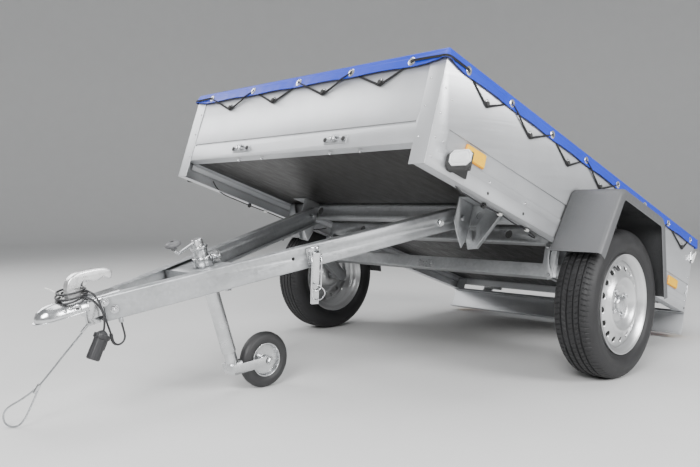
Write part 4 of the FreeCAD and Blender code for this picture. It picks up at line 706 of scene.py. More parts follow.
class Bench:
    """Turns surfaces into pieces of the scene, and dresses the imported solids."""

    def piece(
        self, name: str, surface: Surface, space: TippedFrame, finish: Finish, body: str, *,
        slot: str | None = None, replaces: Sequence[str] = (), sharp_deg: float = 38.0,
        recalculate: bool = True,
    ) -> bpy.types.Object:
        """Makes one piece from a surface.

        Args:
            name: the piece's name.
            surface: its surface in the space's millimetres.
            space: the frame that the surface is drawn in.
            finish: its finish.
            body: the body that it moves with.
            slot: the record's material slot; not used.
            replaces: solids that it stands for.
            sharp_deg: edges that turn by more than this stay sharp.
            recalculate: whether the faces are turned outwards again.

        Returns:
            The object, at the origin with its place in its mesh.
        """
        mesh = bpy.data.meshes.new(name)
        faces = [row for block in surface.blocks for row in block.tolist()]
        mesh.from_pydata(space.world(surface.points).tolist(), [], faces)
        layer = mesh.uv_layers.new(name="unrolled")
        layer.data.foreach_set("uv", np.concatenate([corner.ravel() for corner in surface.corners]))
        self.weld(mesh, recalculate)
        made = bpy.data.objects.new(name, mesh)
        bpy.context.scene.collection.objects.link(made)
        return self.settle(made, finish, body, replaces, sharp_deg)

    @staticmethod
    def weld(mesh: bpy.types.Mesh, recalculate: bool = True, flat_deg: float | None = None) -> None:
        """Joins points that coincide, drops what has no area and turns the faces outwards.

        Args:
            mesh: the piece's mesh.
            recalculate: whether the faces are turned outwards.
            flat_deg: faces that meet at less than this angle become one, if it is given.
        """
        work = bmesh.new()
        work.from_mesh(mesh)
        bmesh.ops.remove_doubles(work, verts=work.verts, dist=2e-6)
        if flat_deg is not None:
            limit = math.radians(flat_deg)
            bmesh.ops.dissolve_limit(work, angle_limit=limit, verts=work.verts, edges=work.edges)
        if recalculate:
            bmesh.ops.recalc_face_normals(work, faces=work.faces)
        work.to_mesh(mesh)
        work.free()

    def settle(
        self, made: bpy.types.Object, finish: Finish, body: str, replaces: Sequence[str],
        sharp_deg: float,
    ) -> bpy.types.Object:
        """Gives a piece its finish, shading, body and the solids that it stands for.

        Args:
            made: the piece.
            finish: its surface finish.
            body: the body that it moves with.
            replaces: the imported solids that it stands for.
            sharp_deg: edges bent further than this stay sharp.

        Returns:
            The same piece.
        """
        made.data.materials.clear()
        made.data.materials.append(finish.material())
        made.data.shade_smooth()
        made.data.set_sharp_from_angle(angle=math.radians(sharp_deg))
        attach(made, body)
        if replaces:
            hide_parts(*replaces)
        LOG.info("%s on %s, %d faces", made.name, body, len(made.data.polygons))
        return made

    def dressed(
        self, node: str, finish: Finish, edge_mm: float = 1.0, sharp_deg: float = 32.0,
    ) -> bpy.types.Object:
        """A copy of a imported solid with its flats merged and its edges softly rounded.

        Args:
            node: the solid's name.
            finish: its finish.
            edge_mm: width of the rounded edges; 0 leaves them as they are.
            sharp_deg: edges that turn by more than this are rounded, or stay sharp.

        Returns:
            The piece that stands for the solid.
        """
        mesh = frame["nodes"][node].data.copy()
        mesh.name = node + "_dressed"
        self.weld(mesh, recalculate=False, flat_deg=0.5 if edge_mm else None)
        made = bpy.data.objects.new(node + "_dressed", mesh)
        bpy.context.scene.collection.objects.link(made)
        self.settle(made, finish, BODY_OF[node], (node,), sharp_deg)
        if edge_mm:
            mesh.shade_smooth()
            for attribute in [a for a in mesh.attributes if a.name == "sharp_edge"]:
                mesh.attributes.remove(attribute)
            edge = made.modifiers.new("rounded_edges", "BEVEL")
            edge.width, edge.segments = edge_mm / 1000, 2
            edge.limit_method, edge.angle_limit = "ANGLE", math.radians(sharp_deg)
            edge.harden_normals = edge.use_clamp_overlap = True
        return made


BENCH = Bench()
SIDES = ((1, "left"), (-1, "right"))


@dataclass
class Sided:
    """A sub-assembly that stands on both sides: side is 1 on the left and -1 on the right."""

    side: int = 1

    @property
    def label(self) -> str:
        """The side's name, left or right."""
        return dict(SIDES)[self.side]

    def add(
        self, name: str, surface: Surface, finish: Finish, body: str = "bed", **more: object,
    ) -> bpy.types.Object:
        """Makes a piece of this side in the bed's frame from a surface that is drawn for the left side.

        Args:
            name: the piece's name, with {} where left or right goes.
            surface: the left side's surface.
            finish: its finish.
            body: the body that it moves with.
            **more: other arguments of Bench.piece.

        Returns:
            The piece.
        """
        return BENCH.piece(name.format(self.label), surface.on_side(self.side), BED, finish, body, **more)


@dataclass(frozen=True)
class Lamp:
    """A square soft light: its place and side in metres, and its power in watts."""

    name: str
    place: tuple[float, float, float]
    size: float
    power: float

    def switch_on(self, target: Sequence[float]) -> None:
        """Adds the light to the scene, aimed at a point.

        Args:
            target: the point.
        """
        data = bpy.data.lights.new(self.name, "AREA")
        data.shape, data.size, data.energy = "SQUARE", self.size, self.power
        made = bpy.data.objects.new(self.name, data)
        bpy.context.scene.collection.objects.link(made)
        axes = aim(np.array(self.place) - np.array(target))
        made.matrix_world = Matrix.Translation(self.place) @ Matrix(axes.tolist()).to_4x4()


@dataclass
class Studio:
    """Camera, pale floor and soft light, in metres and radians."""

    eye: tuple[float, float, float] = (2.0387, -2.2048, 0.6490)
    yaw: float = 0.8031
    pitch: float = -0.0433
    roll: float = -0.0040
    focal_px: float = 726.56
    picture_px: int = 700
    film_mm: float = 36.0
    floor_rings: tuple[float, ...] = (0.0, 2.0, 5.0)
    floor_reach: float = 9.5
    cove_radius: float = 3.0
    backdrop_height: float = 9.0
    sky_colour: tuple[float, ...] = (0.93, 0.96, 1.0, 1)
    sky_strength: float = 0.29
    lit_point: tuple[float, float, float] = (0.0, 0.0, 0.5)
    lamps: tuple[Lamp, ...] = (
        Lamp("front_light", (2.6, -4.6, 3.4), 2.2, 400), Lamp("side_light", (5.2, 0.4, 2.6), 2.0, 290),
        Lamp("top_light", (-0.5, 0.0, 5.0), 4.0, 190), Lamp("far_light", (-4.5, -1.5, 3.0), 2.5, 110),
    )

    def camera(self) -> None:
        """Places the camera: it looks along forward, with right and up turned by yaw, pitch and roll."""
        cos_y, sin_y = math.cos(self.yaw), math.sin(self.yaw)
        cos_p, sin_p = math.cos(self.pitch), math.sin(self.pitch)
        cos_r, sin_r = math.cos(self.roll), math.sin(self.roll)
        level, right, up = np.array([-sin_y, cos_y, 0]), np.array([cos_y, sin_y, 0]), np.array([0, 0, 1.0])
        forward = level * cos_p + up * sin_p
        over = up * cos_p - level * sin_p
        across, above = right * cos_r + over * sin_r, over * cos_r - right * sin_r
        data = bpy.data.cameras.new("camera")
        data.sensor_fit, data.sensor_width = "HORIZONTAL", self.film_mm
        data.lens = self.focal_px / self.picture_px * data.sensor_width
        data.clip_end = 100
        made = bpy.data.objects.new("camera", data)
        bpy.context.scene.collection.objects.link(made)
        axes = np.stack([across, above, -forward], 1)
        made.matrix_world = Matrix.Translation(self.eye) @ Matrix(axes.tolist()).to_4x4()
        bpy.context.scene.camera = made

    def floor(self) -> None:
        """A wide pale floor that curves up into a backdrop all round, well outside every viewpoint."""
        bend = np.linspace(0, math.pi / 2, 13)
        flat = np.column_stack([self.floor_rings, np.zeros(len(self.floor_rings))])
        cove = self.cove_radius * np.stack([np.sin(bend), 1 - np.cos(bend)], 1) + [self.floor_reach, 0]
        top = (self.floor_reach + self.cove_radius, self.backdrop_height)
        surface = lathe(np.vstack([flat, cove, top]), 96)
        mesh = bpy.data.meshes.new("floor")
        mesh.from_pydata(surface.points.tolist(), [], surface.blocks[0].tolist())
        mesh.shade_smooth()
        mesh.materials.append(FLOOR_PALE.material())
        made = bpy.data.objects.new("floor", mesh)
        bpy.context.scene.collection.objects.link(made)

    def build(self) -> None:
        """Everything that isn't the trailer."""
        self.camera()
        self.floor()
        for lamp in self.lamps:
            lamp.switch_on(self.lit_point)
        world = bpy.data.worlds.new("studio")
        bpy.context.scene.world = world
        world.use_nodes = True
        sky = world.node_tree.nodes["Background"].inputs
        sky["Color"].default_value = self.sky_colour
        sky["Strength"].default_value = self.sky_strength


def nurbs_route(name: str, points: Array) -> bpy.types.Object:
    """Curve object whose one open smooth spline has the route's points as control points.

    Args:
        name: the object's name.
        points: rows of metres over the ground.

    Returns:
        The curve, with no bevel.
    """
    data = bpy.data.curves.new(name, "CURVE")
    data.dimensions = "3D"
    data.resolution_u = 12
    spline = data.splines.new("NURBS")
    spline.points.add(len(points) - 1)
    spline.points.foreach_set("co", np.column_stack([points, np.ones(len(points))]).ravel())
    spline.order_u = 3
    spline.use_endpoint_u = True
    made = bpy.data.objects.new(name, data)
    bpy.context.scene.collection.objects.link(made)
    return made


def followed(curve: bpy.types.Object) -> Array:
    """Points, in millimetres over the ground, that a curve with no bevel runs through.

    Args:
        curve: the curve.

    Returns:
        Its points in order.
    """
    mesh = bpy.data.meshes.new_from_object(curve)
    points = np.zeros(len(mesh.vertices) * 3)
    mesh.vertices.foreach_get("co", points)
    bpy.data.meshes.remove(mesh)
    return points.reshape(-1, 3) * 1000


def even_line(points: Array, spacing: float) -> Array:
    """A line's points at even steps of its length.

    Args:
        points: the line.
        spacing: the steps' length.

    Returns:
        The new points.
    """
    run = np.concatenate([[0], np.cumsum(np.linalg.norm(np.diff(points, axis=0), axis=1))])
    stations = np.linspace(0, run[-1], max(4, int(run[-1] / spacing)))
    return np.stack([np.interp(stations, run, points[:, axis]) for axis in range(3)], -1)


WORLD_MM = TippedFrame((0.0, 0.0, 0.0), 0.0)


@dataclass
class TowCords:
    """The electric lead with its plug, and the safety rope with its ferrule."""

    lead_diameter: float = 6.0
    coil_place: float = -70.0
    coil_start_deg: float = 13.0
    coil_turns: float = 3.828
    coil_radii: tuple = (40.0, 38.5, 41.0, 45.0, 45.5, 43.0, 41.5, 37.5, 35.6)
    coil_heights: tuple = (98.0, 94.0, 91.5, 93.5, 99.0, 104.0, 111.5, 114.5, 108.5)
    near_deg: float = -44.0
    sag_least: float = 2.0
    sag_more: float = 5.5
    sag_turn: float = 1.4
    sag_span: float = 0.8
    sag_outward: float = 0.35
    sleeve_ends: tuple = ((49, 5, -72), (51, -3, -36))
    sleeve_part: int = 300
    tie_head: tuple = (46, 107)
    plug_lean_deg: float = 36.0
    tie_deg: float = 213.0
    tie_ring: tuple = (
        (33, 90), (33.5, 101), (36, 110), (42, 110.5), (47.5, 102), (50, 93), (47, 87), (39, 86),
    )
    tie_tail: tuple = ((47, 0, 109), (58, -1, 117), (72, -3, 123), (84, -6, 126))
    rope_up: tuple = (0.75, -0.6, 0.25)
    rope_strands: int = 6
    rope_lay: float = 34.0
    strand_share: float = 0.40
    lay_share: float = 0.70
    rope_diameter: float = 5.0
    feed_route: tuple = (
        (46, 38, -12), (47, 39, -36), (46, 40, -61), (47, 27, -74), (49, 9, -74), (50, -3, -61),
        (51, -3, -34), (52, -7, -6), (53, -11, 26), (53, -20, 57), (50, -37, 83),
    )
    drop_route: tuple = (
        (47, -41, 107), (61, -31, 96), (68, -24, 72), (70, -20, 45), (69, -20, 19), (68, -24, -3),
        (67, -29, -15),
    )
    rope_route: tuple = (
        (0, -1634, 294), (-18, -1661, 254), (-48, -1692, 203), (-80, -1719, 152), (-108, -1741, 112),
        (-120, -1761, 94), (-133, -1784, 76), (-151, -1807, 61), (-158, -1822, 42),
        (-151, -1824, 18), (-135, -1813, 4), (-118, -1794, 6), (-111, -1779, 24), (-109, -1765, 52),
        (-107, -1753, 78), (-106, -1743, 100),
    )

    def coil(self) -> Array:
        """Loose turns round the lever's neck.

        Radius and height run through set values every half turn. The turns sag on the near side, most of all
        near the sag's turn, so they fan out there.
        """
        turn = np.linspace(0, self.coil_turns, int(self.coil_turns * 16))
        knots = np.append(np.arange(len(self.coil_radii) - 1) / 2, self.coil_turns)
        angle = math.radians(self.coil_start_deg) - TAU * turn
        near = np.clip(np.cos(angle - math.radians(self.near_deg)), 0, 1) ** 2
        drop = self.sag_least + self.sag_more * np.exp(-(((turn - self.sag_turn) / self.sag_span) ** 2))
        sag = drop * near
        radius = np.interp(turn, knots, self.coil_radii) + self.sag_outward * sag
        height = np.interp(turn, knots, self.coil_heights) - sag
        return np.stack([radius * np.cos(angle), self.coil_place + radius * np.sin(angle), height], -1)

    def lead(self) -> None:
        """The lead: out of the beam, a bend, up over the coupling, round the neck and down to the plug."""
        route = np.vstack([self.feed_route, self.coil(), self.drop_route])
        curve = nurbs_route("electric_lead", BAR.world(route))
        curve.data.materials.append(CABLE_BLACK.material())
        points = followed(curve)
        curve.data.bevel_depth = self.lead_diameter / 2000
        curve.data.bevel_resolution = 4
        curve.data.use_fill_caps = True
        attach(curve, "drawbar")
        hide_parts("lead_feed", "lead_coil", "lead_drop")
        plug = self.plug()
        boot = self.boot(points)
        tie = self.tie()
        BAR.world(self.feed_route[0])

    def plug(self) -> bpy.types.Object:
        """Round plug with a ribbed cap, a grip with flutes and its cable neck."""
        profile = [
            (3.2, 2), (8, 0), (13, -4), (17, -8.5), (22.5, -9.5), (23, -11), (23, -21), (22.2, -22.5),
            (19.2, -23.5), (19.0, -40), (19.6, -58), (20, -76), (19.4, -82), (16.5, -85), (15.5, -85),
            (15.5, -79), (0, -79),
        ]
        steps, flutes = 72, 12
        body = lathe(profile, steps)
        grid = body.points.reshape(len(profile), steps, 3).copy()
        angle = np.arange(steps) * TAU / steps
        flute = 1 - 0.035 * (1 + np.cos(angle * flutes)) / 2
        grid[9:12, :, :2] *= flute[None, :, None]
        cap_rib = 1 - 0.03 * (np.arange(steps) % 4 < 2)
        grid[5:7, :, :2] *= cap_rib[None, :, None]
        shell = replace(body, points=grid.reshape(-1, 3))
        hinge = joined([slab(9, 7, 12, 1.5).moved(0, -23, -22), slab(5, 4, 30, 1.2).moved(0, -21.5, -52)])
        angle = math.radians(self.plug_lean_deg)
        lean = aim((0, math.sin(angle), math.cos(angle)))
        end = self.drop_route[-1]
        whole = joined([shell, hinge]).turned(lean).moved(*end)
        return BENCH.piece(
            "lead_plug_body", whole, BAR, PLUG_BLACK, "drawbar", slot="black_plastic", replaces=["lead_plug"],
        )

    def boot(self, points: Array) -> bpy.types.Object:
        """Ribbed sleeve on the lead's bend under the beam: it swells and narrows along the line.

        Args:
            points: the lead's line, in millimetres over the ground.

        Returns:
            The sleeve.
        """
        ends = BAR.world(self.sleeve_ends) * 1000
        feed = points[: self.sleeve_part]
        first, last = sorted(int(np.argmin(np.linalg.norm(feed - end, axis=1))) for end in ends)
        path = even_line(points[first: last + 1], 1.6)
        share = np.linspace(0, 1, len(path))
        scale = 1.25 + 0.55 * share + 0.08 * np.sign(np.sin(share * 40))
        tube = sweep(path, circle(self.lead_diameter / 2, 16), up=(1, 0, 0), scale=scale)
        return BENCH.piece("lead_sleeve", tube, WORLD_MM, PLUG_BLACK, "drawbar")

    def tie(self) -> bpy.types.Object:
        """Cable tie round the turns, with its head and its tail standing forward."""
        bearing = math.radians(self.tie_deg)
        radial = np.array([math.cos(bearing), math.sin(bearing), 0])
        side = np.array([-radial[1], radial[0], 0])
        middle = np.array([0, self.coil_place, 0])
        ring = curve_through(self.tie_ring, 6, closed=True)
        loop = middle + ring[:, :1] * radial + ring[:, 1:] * np.array([0, 0, 1])
        strip = rounded_outline([(-2.3, -0.6), (2.3, -0.6), (2.3, 0.6), (-2.3, 0.6)], 0.3, 3)
        band = sweep(loop, strip, closed=True, up=side)
        head_place = middle + self.tie_head[0] * radial + np.array([0, 0, self.tie_head[1]])
        head = slab(6, 7, 5, 1.2).turned(aim(radial + [0, 0, 0.6])).moved(*head_place)
        reach = [middle + a * radial + b * side + [0, 0, c] for a, b, c in self.tie_tail]
        tail_line = curve_through(reach, 8)
        tail = sweep(tail_line, strip, up=side, scale=np.linspace(1, 0.7, len(tail_line)))
        return BENCH.piece("cable_tie", joined([band, head, tail]), BAR, WHITE_NYLON, "drawbar")

    def rope(self) -> None:
        """Six strands laid round a core: each strand's centre turns about the route as it goes along."""
        curve = nurbs_route("rope_line", GROUND.world(self.rope_route))
        points = followed(curve)
        bpy.data.objects.remove(curve)
        path = even_line(points, 2.4)
        length = np.linalg.norm(np.diff(path, axis=0), axis=1).sum()
        tangent = np.gradient(path, axis=0)
        tangent /= np.linalg.norm(tangent, axis=1)[:, None]
        across = np.cross(self.rope_up, tangent)
        across /= np.linalg.norm(across, axis=1)[:, None]
        over = np.cross(tangent, across)
        radius = self.rope_diameter / 2
        strand, lay = radius * self.strand_share, radius * self.lay_share
        run = np.linspace(0, length, len(path))
        strands = [sweep(path, circle(radius * 0.5, 8), up=self.rope_up)]
        for number in range(self.rope_strands):
            angle = TAU * (run / self.rope_lay + number / self.rope_strands)
            line = path + lay * (np.cos(angle)[:, None] * across + np.sin(angle)[:, None] * over)
            strands.append(sweep(line, circle(strand, 6), up=self.rope_up))
        made = BENCH.piece(
            "safety_rope_strands", joined(strands), WORLD_MM, ROPE_WIRE, "drawbar", slot="rope_steel",
            replaces=["safety_rope"],
        )
        ferrule = self.ferrule()
        eye = self.rope_eye()
        GROUND.world(self.rope_route[0])
        LOG.info("safety_rope %.3f m", length / 1000)

    def ferrule(self) -> bpy.types.Object:
        """Pressed oval sleeve over both legs of the rope where its loop closes."""
        middle = np.array([-108.0, -1743, 107])
        direction = np.array([-0.24, -0.42, -0.87])
        path = middle + np.linspace(-15, 15, 14)[:, None] * direction
        ends = 1 - 0.16 * np.abs(np.linspace(-1, 1, 14)) ** 6
        oval = circle(1, 20) * np.array([6.2, 4.0])
        sleeve = sweep(path, oval, up=(0.8, -0.55, 0), scale=ends)
        return BENCH.piece("rope_ferrule", sleeve, GROUND, BRIGHT_ZINC, "drawbar")

    def rope_eye(self) -> bpy.types.Object:
        """Pressed end that holds the rope in the coupling's lug."""
        path = np.array([(0, -1634, 297), (-5, -1641.5, 286), (-10, -1649, 274.5)], float)
        tube = sweep(even_line(path, 3), circle(4.6, 18), up=(0.8, -0.55, 0))
        return BENCH.piece("rope_end", tube, GROUND, BRIGHT_ZINC, "drawbar")

    def build(self) -> None:
        """Both cords."""
        self.lead()
        self.rope()


@dataclass
class RoadWheel(Sided):
    """One tyre with its tread, its wheel and the small things on it."""

    plane: float = 773.0
    around: int = 900
    ribs: tuple[float, ...] = (-34.0, -12.0, 12.0, 34.0)
    groove_width: float = 5.0
    groove_depth: float = 5.5
    pitches: int = 90
    face_out: float = 43.0
    vents: int = 16
    vent_circle: float = 132.0
    vent_size: tuple[float, float] = (11.5, 12.5)
    vent_depth: float = 3.4
    bolts: int = 4
    bolt_circle: float = 49.0
    valve_circle: float = 151.0
    valve_turn: float = 2.2
    valve_lean_deg: float = 40.0

    @property
    def body(self) -> str:
        """Name of the body that turns with this wheel."""
        return f"wheel_{self.label}"

    def section(self) -> Array:
        """Half outline of the tyre from its bead to the crown as (x, radius), smoothed through set points."""
        half = [
            (56.9, 166), (57.4, 170), (60.6, 182.9), (65.5, 194), (73.5, 206), (77.7, 219.5), (76.8, 233),
            (73.5, 246), (67.5, 257.5), (60, 265.6), (50, 270.8), (38, 272.6), (20, 273.4), (0, 273.5),
        ]
        return curve_through(half, 4)

    def tread(self, x: Array, angle: Array) -> Array:
        """Depth taken off the tread at a place.

        Straight grooves run round the tyre, and fine cuts cross the ribs between them and the shoulders.

        Args:
            x: distance from the tyre's middle plane.
            angle: turn about the axle.

        Returns:
            The depth in millimetres.
        """
        away = np.abs(x)
        depth = np.zeros(np.broadcast_shapes(x.shape, angle.shape))
        for place in self.ribs:
            depth = np.maximum(depth, self.groove_depth * (np.abs(x - place) < self.groove_width / 2))
        turn = angle * self.pitches / TAU
        middle = (away < 10) & ((turn + 0.02 * x) % 1 < 0.16)
        rib = (away > 16) & (away < 31) & ((turn + 0.03 * away + 0.4) % 1 < 0.18)
        shoulder = (away > 38) & (away < 70) & ((turn - 0.012 * away + 0.15) % 1 < 0.2)
        depth = np.maximum(depth, 1.8 * middle)
        depth = np.maximum(depth, 2.2 * rib)
        return np.maximum(depth, 2.8 * shoulder * np.clip((70 - away) / 14, 0, 1))

    def tyre(self) -> None:
        """Tyre as a surface of angle and section: radius less the tread's depth, with rings on the walls."""
        half = self.section()
        across = np.linspace(46, -46, 47)
        crown = np.column_stack([across, np.interp(np.abs(across), *half[::-1].T)])
        wall = half[: int(np.argmax((half[:, 1] > 250) & (half[:, 0] < 47)))]
        outline = np.vstack([wall, crown, (wall * [-1, 1])[::-1]])
        lining = np.array([(47, 167), (60, 200), (66, 222), (58, 252)])
        line = np.vstack([outline, lining * [-1, 1], [(0, 262)], lining[::-1]])
        angle = (np.arange(self.around) * TAU / self.around)[None]
        x, radius = line[:, :1], line[:, 1:]
        outside = (np.arange(len(line)) < len(outline))[:, None]
        on_tread = outside & (radius > 255)
        depth = self.tread(x, angle) * on_tread
        ring = 0.7 * (np.abs(radius - 203) < 2.2) + 0.6 * (np.abs(radius - 231) < 1.6)
        serration = 0.35 * (np.abs(radius - 246) < 5) * (((angle * 110 / math.pi) % 1) < 0.5)
        wall_only = outside & (radius < 252) & (radius > 186)
        swell = (ring + serration) * wall_only
        reach = radius - depth
        beside = x + np.sign(x) * swell + 0 * angle
        points = np.stack([beside, reach * np.cos(angle), reach * np.sin(angle)], -1)
        surface = grid_surface(points, wrap_u=True, wrap_v=True).moved(x=self.plane)
        self.add(
            "tyre_{}_tread", surface, TYRE_BLACK, self.body, slot="tyre_rubber",
            replaces=[f"tyre_{self.label}"], sharp_deg=30,
        )

    def face_profile(self) -> Array:
        """Pressed face from barrel to bore as (outward, radius): a cone, a crest and a sunk middle."""
        knots = [
            (38.5, 160.9), (40.5, 158), (41.5, 153), (43.6, 146), (46.2, 138), (49.5, 129), (54, 119),
            (59, 111), (63.5, 105.5), (66.6, 100.5), (67.2, 96.5), (65.8, 91.5), (62, 86), (56.5, 80.5),
            (51, 76), (46.5, 72), (43.8, 67.5), (43, 62), (43, 50), (43, 38), (43, 24),
        ]
        return curve_through(knots, 6)

    def wheel_face(self) -> None:
        """The pressed face with a ring of vents.

        Radius and angle give each point, and inside a vent's oval the surface drops by a smooth step.
        """
        profile = self.face_profile()
        columns = self.vents * 32
        angle = np.arange(columns) * TAU / columns
        outward, radius = profile[:, :1], profile[:, 1:]
        sector = TAU / self.vents
        beside = ((angle + sector / 2) % sector - sector / 2)[None] * self.vent_circle
        along = radius - self.vent_circle
        oval = np.sqrt((along / self.vent_size[0]) ** 2 + (beside / self.vent_size[1]) ** 2)
        step = np.clip((1.04 - oval) / 0.14, 0, 1)
        lip = 0.9 * np.exp(-(((oval - 1.13) / 0.09) ** 2))
        x = outward - self.vent_depth * step * step * (3 - 2 * step) + lip
        points = np.stack([x, radius * np.cos(angle), radius * np.sin(angle)], -1)
        shell = grid_surface(points, wrap_v=True).moved(x=self.plane)
        made = self.add(
            "wheel_face_{}", shell, RIM_SILVER, self.body, slot="rim_silver", sharp_deg=60, recalculate=False,
        )
        self.outwards(made)
        self.vent_shades(float(np.interp(-self.vent_circle, -profile[:, 1], profile[:, 0])))

    def vent_shades(self, outward: float) -> None:
        """Dark discs in the vents, for the shade behind the wheel.

        Args:
            outward: how far out the face is at the vents' circle.
        """
        shades = []
        for turn in np.arange(self.vents) * TAU / self.vents:
            across = np.array([0, math.cos(turn), math.sin(turn)])
            at = self.vent_circle * across + [self.plane + outward - self.vent_depth + 1.0, 0, 0]
            shades.append(lathe([(10.9, 0), (0, 0.3)], 24).turned(aim(0.45 * across + [1, 0, 0])).moved(*at))
        self.add("vent_shades_{}", joined(shades), VENT_DARK, self.body)

    @staticmethod
    def outwards(made: bpy.types.Object) -> None:
        """Turns an open wheel face so that it looks away from the trailer's middle.

        Args:
            made: the wheel face.
        """
        total = sum(face.normal.x * face.area for face in made.data.polygons)
        middle = sum(vertex.co.x for vertex in made.data.vertices)
        if total * middle < 0:
            made.data.flip_normals()

    def wheel(self) -> None:
        """The painted wheel, its face, the bolts' cone seats, the grease cap and the valve."""
        BENCH.dressed(f"rim_{self.label}", RIM_SILVER, 0.0, sharp_deg=28)
        self.wheel_face()
        face = self.plane + self.face_out
        seat = lathe([(0, -1), (14.5, -1), (14.0, 1.2), (11.5, 2.6), (0, 2.6)], 28)
        crown = lathe([(0, 13.6), (6.2, 13.0), (7.4, 12.2), (7.6, 11.2), (0, 11.2)], 20)
        bolt = joined([seat, hex_nut(17, 10).moved(z=2), crown]).turned(ALONG_X)
        turns = (np.arange(self.bolts) + 0.5) * TAU / self.bolts
        reach = self.bolt_circle
        places = [(face, reach * math.cos(turn), reach * math.sin(turn)) for turn in turns]
        self.add("wheel_bolts_{}", joined(bolt.moved(*place) for place in places), BRIGHT_ZINC, self.body)
        cap = lathe([(28.4, -2), (28.4, 8), (27.6, 11), (25.5, 14), (21, 15.6), (12, 16.4), (0, 16.6)], 40)
        collar = lathe([(33, -0.5), (33, 2), (31.8, 3), (28, 3.2), (28, -0.5)], 40)
        grease = joined([cap, collar]).turned(ALONG_X).moved(face - 1, 0, 0)
        self.add("grease_cap_{}", grease, BRIGHT_ZINC, self.body)
        self.valve()

    def valve(self) -> None:
        """Rubber valve stem that leans towards the hub."""
        stem = lathe([
            (5.2, -6), (5.2, 2), (3.4, 5), (3.3, 18), (4.2, 19), (4.2, 28), (3.2, 29.5), (0, 29.5),
        ], 18)
        lean = math.radians(self.valve_lean_deg)
        across = np.array([0, math.cos(self.valve_turn), math.sin(self.valve_turn)])
        place = self.valve_circle * across + [self.plane + self.face_out - 2, 0, 0]
        direction = [math.cos(lean), 0, 0] - math.sin(lean) * across
        self.add("valve_{}", stem.turned(aim(direction)).moved(*place), CABLE_BLACK, self.body)

    def build(self) -> None:
        """Tyre, wheel and fittings."""
        self.tyre()
        self.wheel()


@dataclass
class Mudguard(Sided):
    """One moulded guard: a skirted section carried over the wheel along a rounded arch."""

    inner: float = 676.4
    outer: float = 869.9
    front: float = 296.0
    rear: float = 300.0
    top: float = 380.8
    front_foot: float = 113.2
    rear_foot: float = 100.2
    front_shoulder: float = 212.0
    rear_shoulder: float = 168.0
    shoulder_radius: float = 56.0
    wall: float = 3.0
    lip: float = 41.0
    edge_m: float = 0.0012

    def arch(self) -> tuple[Array, Array]:
        """Centre line over the wheel and the inward normal at each station.

        The corners are replaced by arcs of the shoulder's radius; the legs are divided evenly.
        """
        corners = np.array([
            (-self.front, self.front_foot), (-self.front_shoulder, self.top), (self.rear_shoulder, self.top),
            (self.rear, self.rear_foot),
        ])
        arcs = []
        for before, corner, after in zip(corners, corners[1:], corners[2:]):
            arcs.append(rounded_outline([before, corner, after], self.shoulder_radius, 14)[14:28])
        legs = [corners[0] + (arcs[0][0] - corners[0]) * t for t in np.linspace(0, 0.97, 12)]
        crown = [arcs[0][-1] + (arcs[1][0] - arcs[0][-1]) * t for t in np.linspace(0.04, 0.96, 14)]
        down = [arcs[1][-1] + (corners[3] - arcs[1][-1]) * t for t in np.linspace(0.03, 1, 14)]
        line = np.vstack([legs, arcs[0], crown, arcs[1], down])
        slope = np.gradient(line, axis=0)
        slope /= np.linalg.norm(slope, axis=1)[:, None]
        return line, np.stack([slope[:, 1], -slope[:, 0]], -1)

    def section(self) -> Array:
        """Closed section as (x, depth inwards): the outer skin with soft corners and its inner face."""
        a, b, w = self.inner, self.outer, self.wall
        outside = np.vstack([
            [(a, 14)], rounded_outline([(a, 14), (a, 0), (b, 0)], 5, 6)[6:12],
            rounded_outline([(a, 0), (b, 0), (b, 40)], 15, 9)[9:18],
            [(b + 0.2, 26), (b, self.lip - 3), (b - 1.2, self.lip)],
        ])
        inside = np.vstack([
            [(b - w + 1.0, self.lip), (b - w, self.lip - 3), (b - w, 26)],
            rounded_outline([(a, w), (b - w, w), (b - w, 40)], 12, 9)[9:18][::-1],
            rounded_outline([(a + w, 14), (a + w, w), (b, w)], 3, 4)[4:8][::-1], [(a + w, 14)],
        ])
        return np.vstack([outside, inside])

    def build(self) -> None:
        """Sweeps the section over the arch: y and z are the arch plus the normal times the depth."""
        line, inward = self.arch()
        section = self.section()
        depth = section[None, :, 1:]
        flat = line[:, None] + inward[:, None] * depth
        x = np.broadcast_to(section[None, :, :1], flat.shape[:2] + (1,))
        surface = grid_surface(np.concatenate([x, flat], -1), wrap_v=True, caps=True)
        made = self.add(
            "mudguard_{}_shell", surface, GUARD_GREY, slot="guard_plastic",
            replaces=[f"mudguard_{self.label}"], sharp_deg=45,
        )
        edge = made.modifiers.new("soft_ends", "BEVEL")
        edge.width, edge.segments = self.edge_m, 2
        edge.limit_method, edge.angle_limit = "ANGLE", math.radians(45)


@dataclass(frozen=True)
class Face:
    """A flat face of the trailer that carries small parts, with its own along, outward and up."""

    base: tuple[float, float, float]
    along: tuple[float, float, float]
    outward: tuple[float, float, float]
    up: tuple[float, float, float] = (0, 0, 1)

    def place(self, points: Array | Sequence) -> Array:
        """Points given as (along, outward, up), in the frame's millimetres."""
        axes = np.array([self.along, self.outward, self.up], float)
        return np.asarray(points, float) @ axes + np.array(self.base)

    def mounted(self, surface: Surface, along: float, up: float, lift: float = 0.0) -> Surface:
        """A surface drawn on z = 0, stood on this face with its y axis up.

        Args:
            surface: the part, its back on z = 0.
            along: where its origin goes along the face.
            up: how high its origin goes.
            lift: how far it stands off the face.

        Returns:
            The surface in the frame's millimetres.
        """
        a, b, c = surface.points.T
        return replace(surface, points=self.place(np.stack([a + along, c + lift, b + up], -1)))


LEFT_SIDE = Face((676, 0, 0), (0, 1, 0), (1, 0, 0))
FRONT_SIDE = Face((0, -1034, 0), (1, 0, 0), (0, -1, 0))
REAR_SIDE = Face((0, 994, 0), (1, 0, 0), (0, 1, 0))


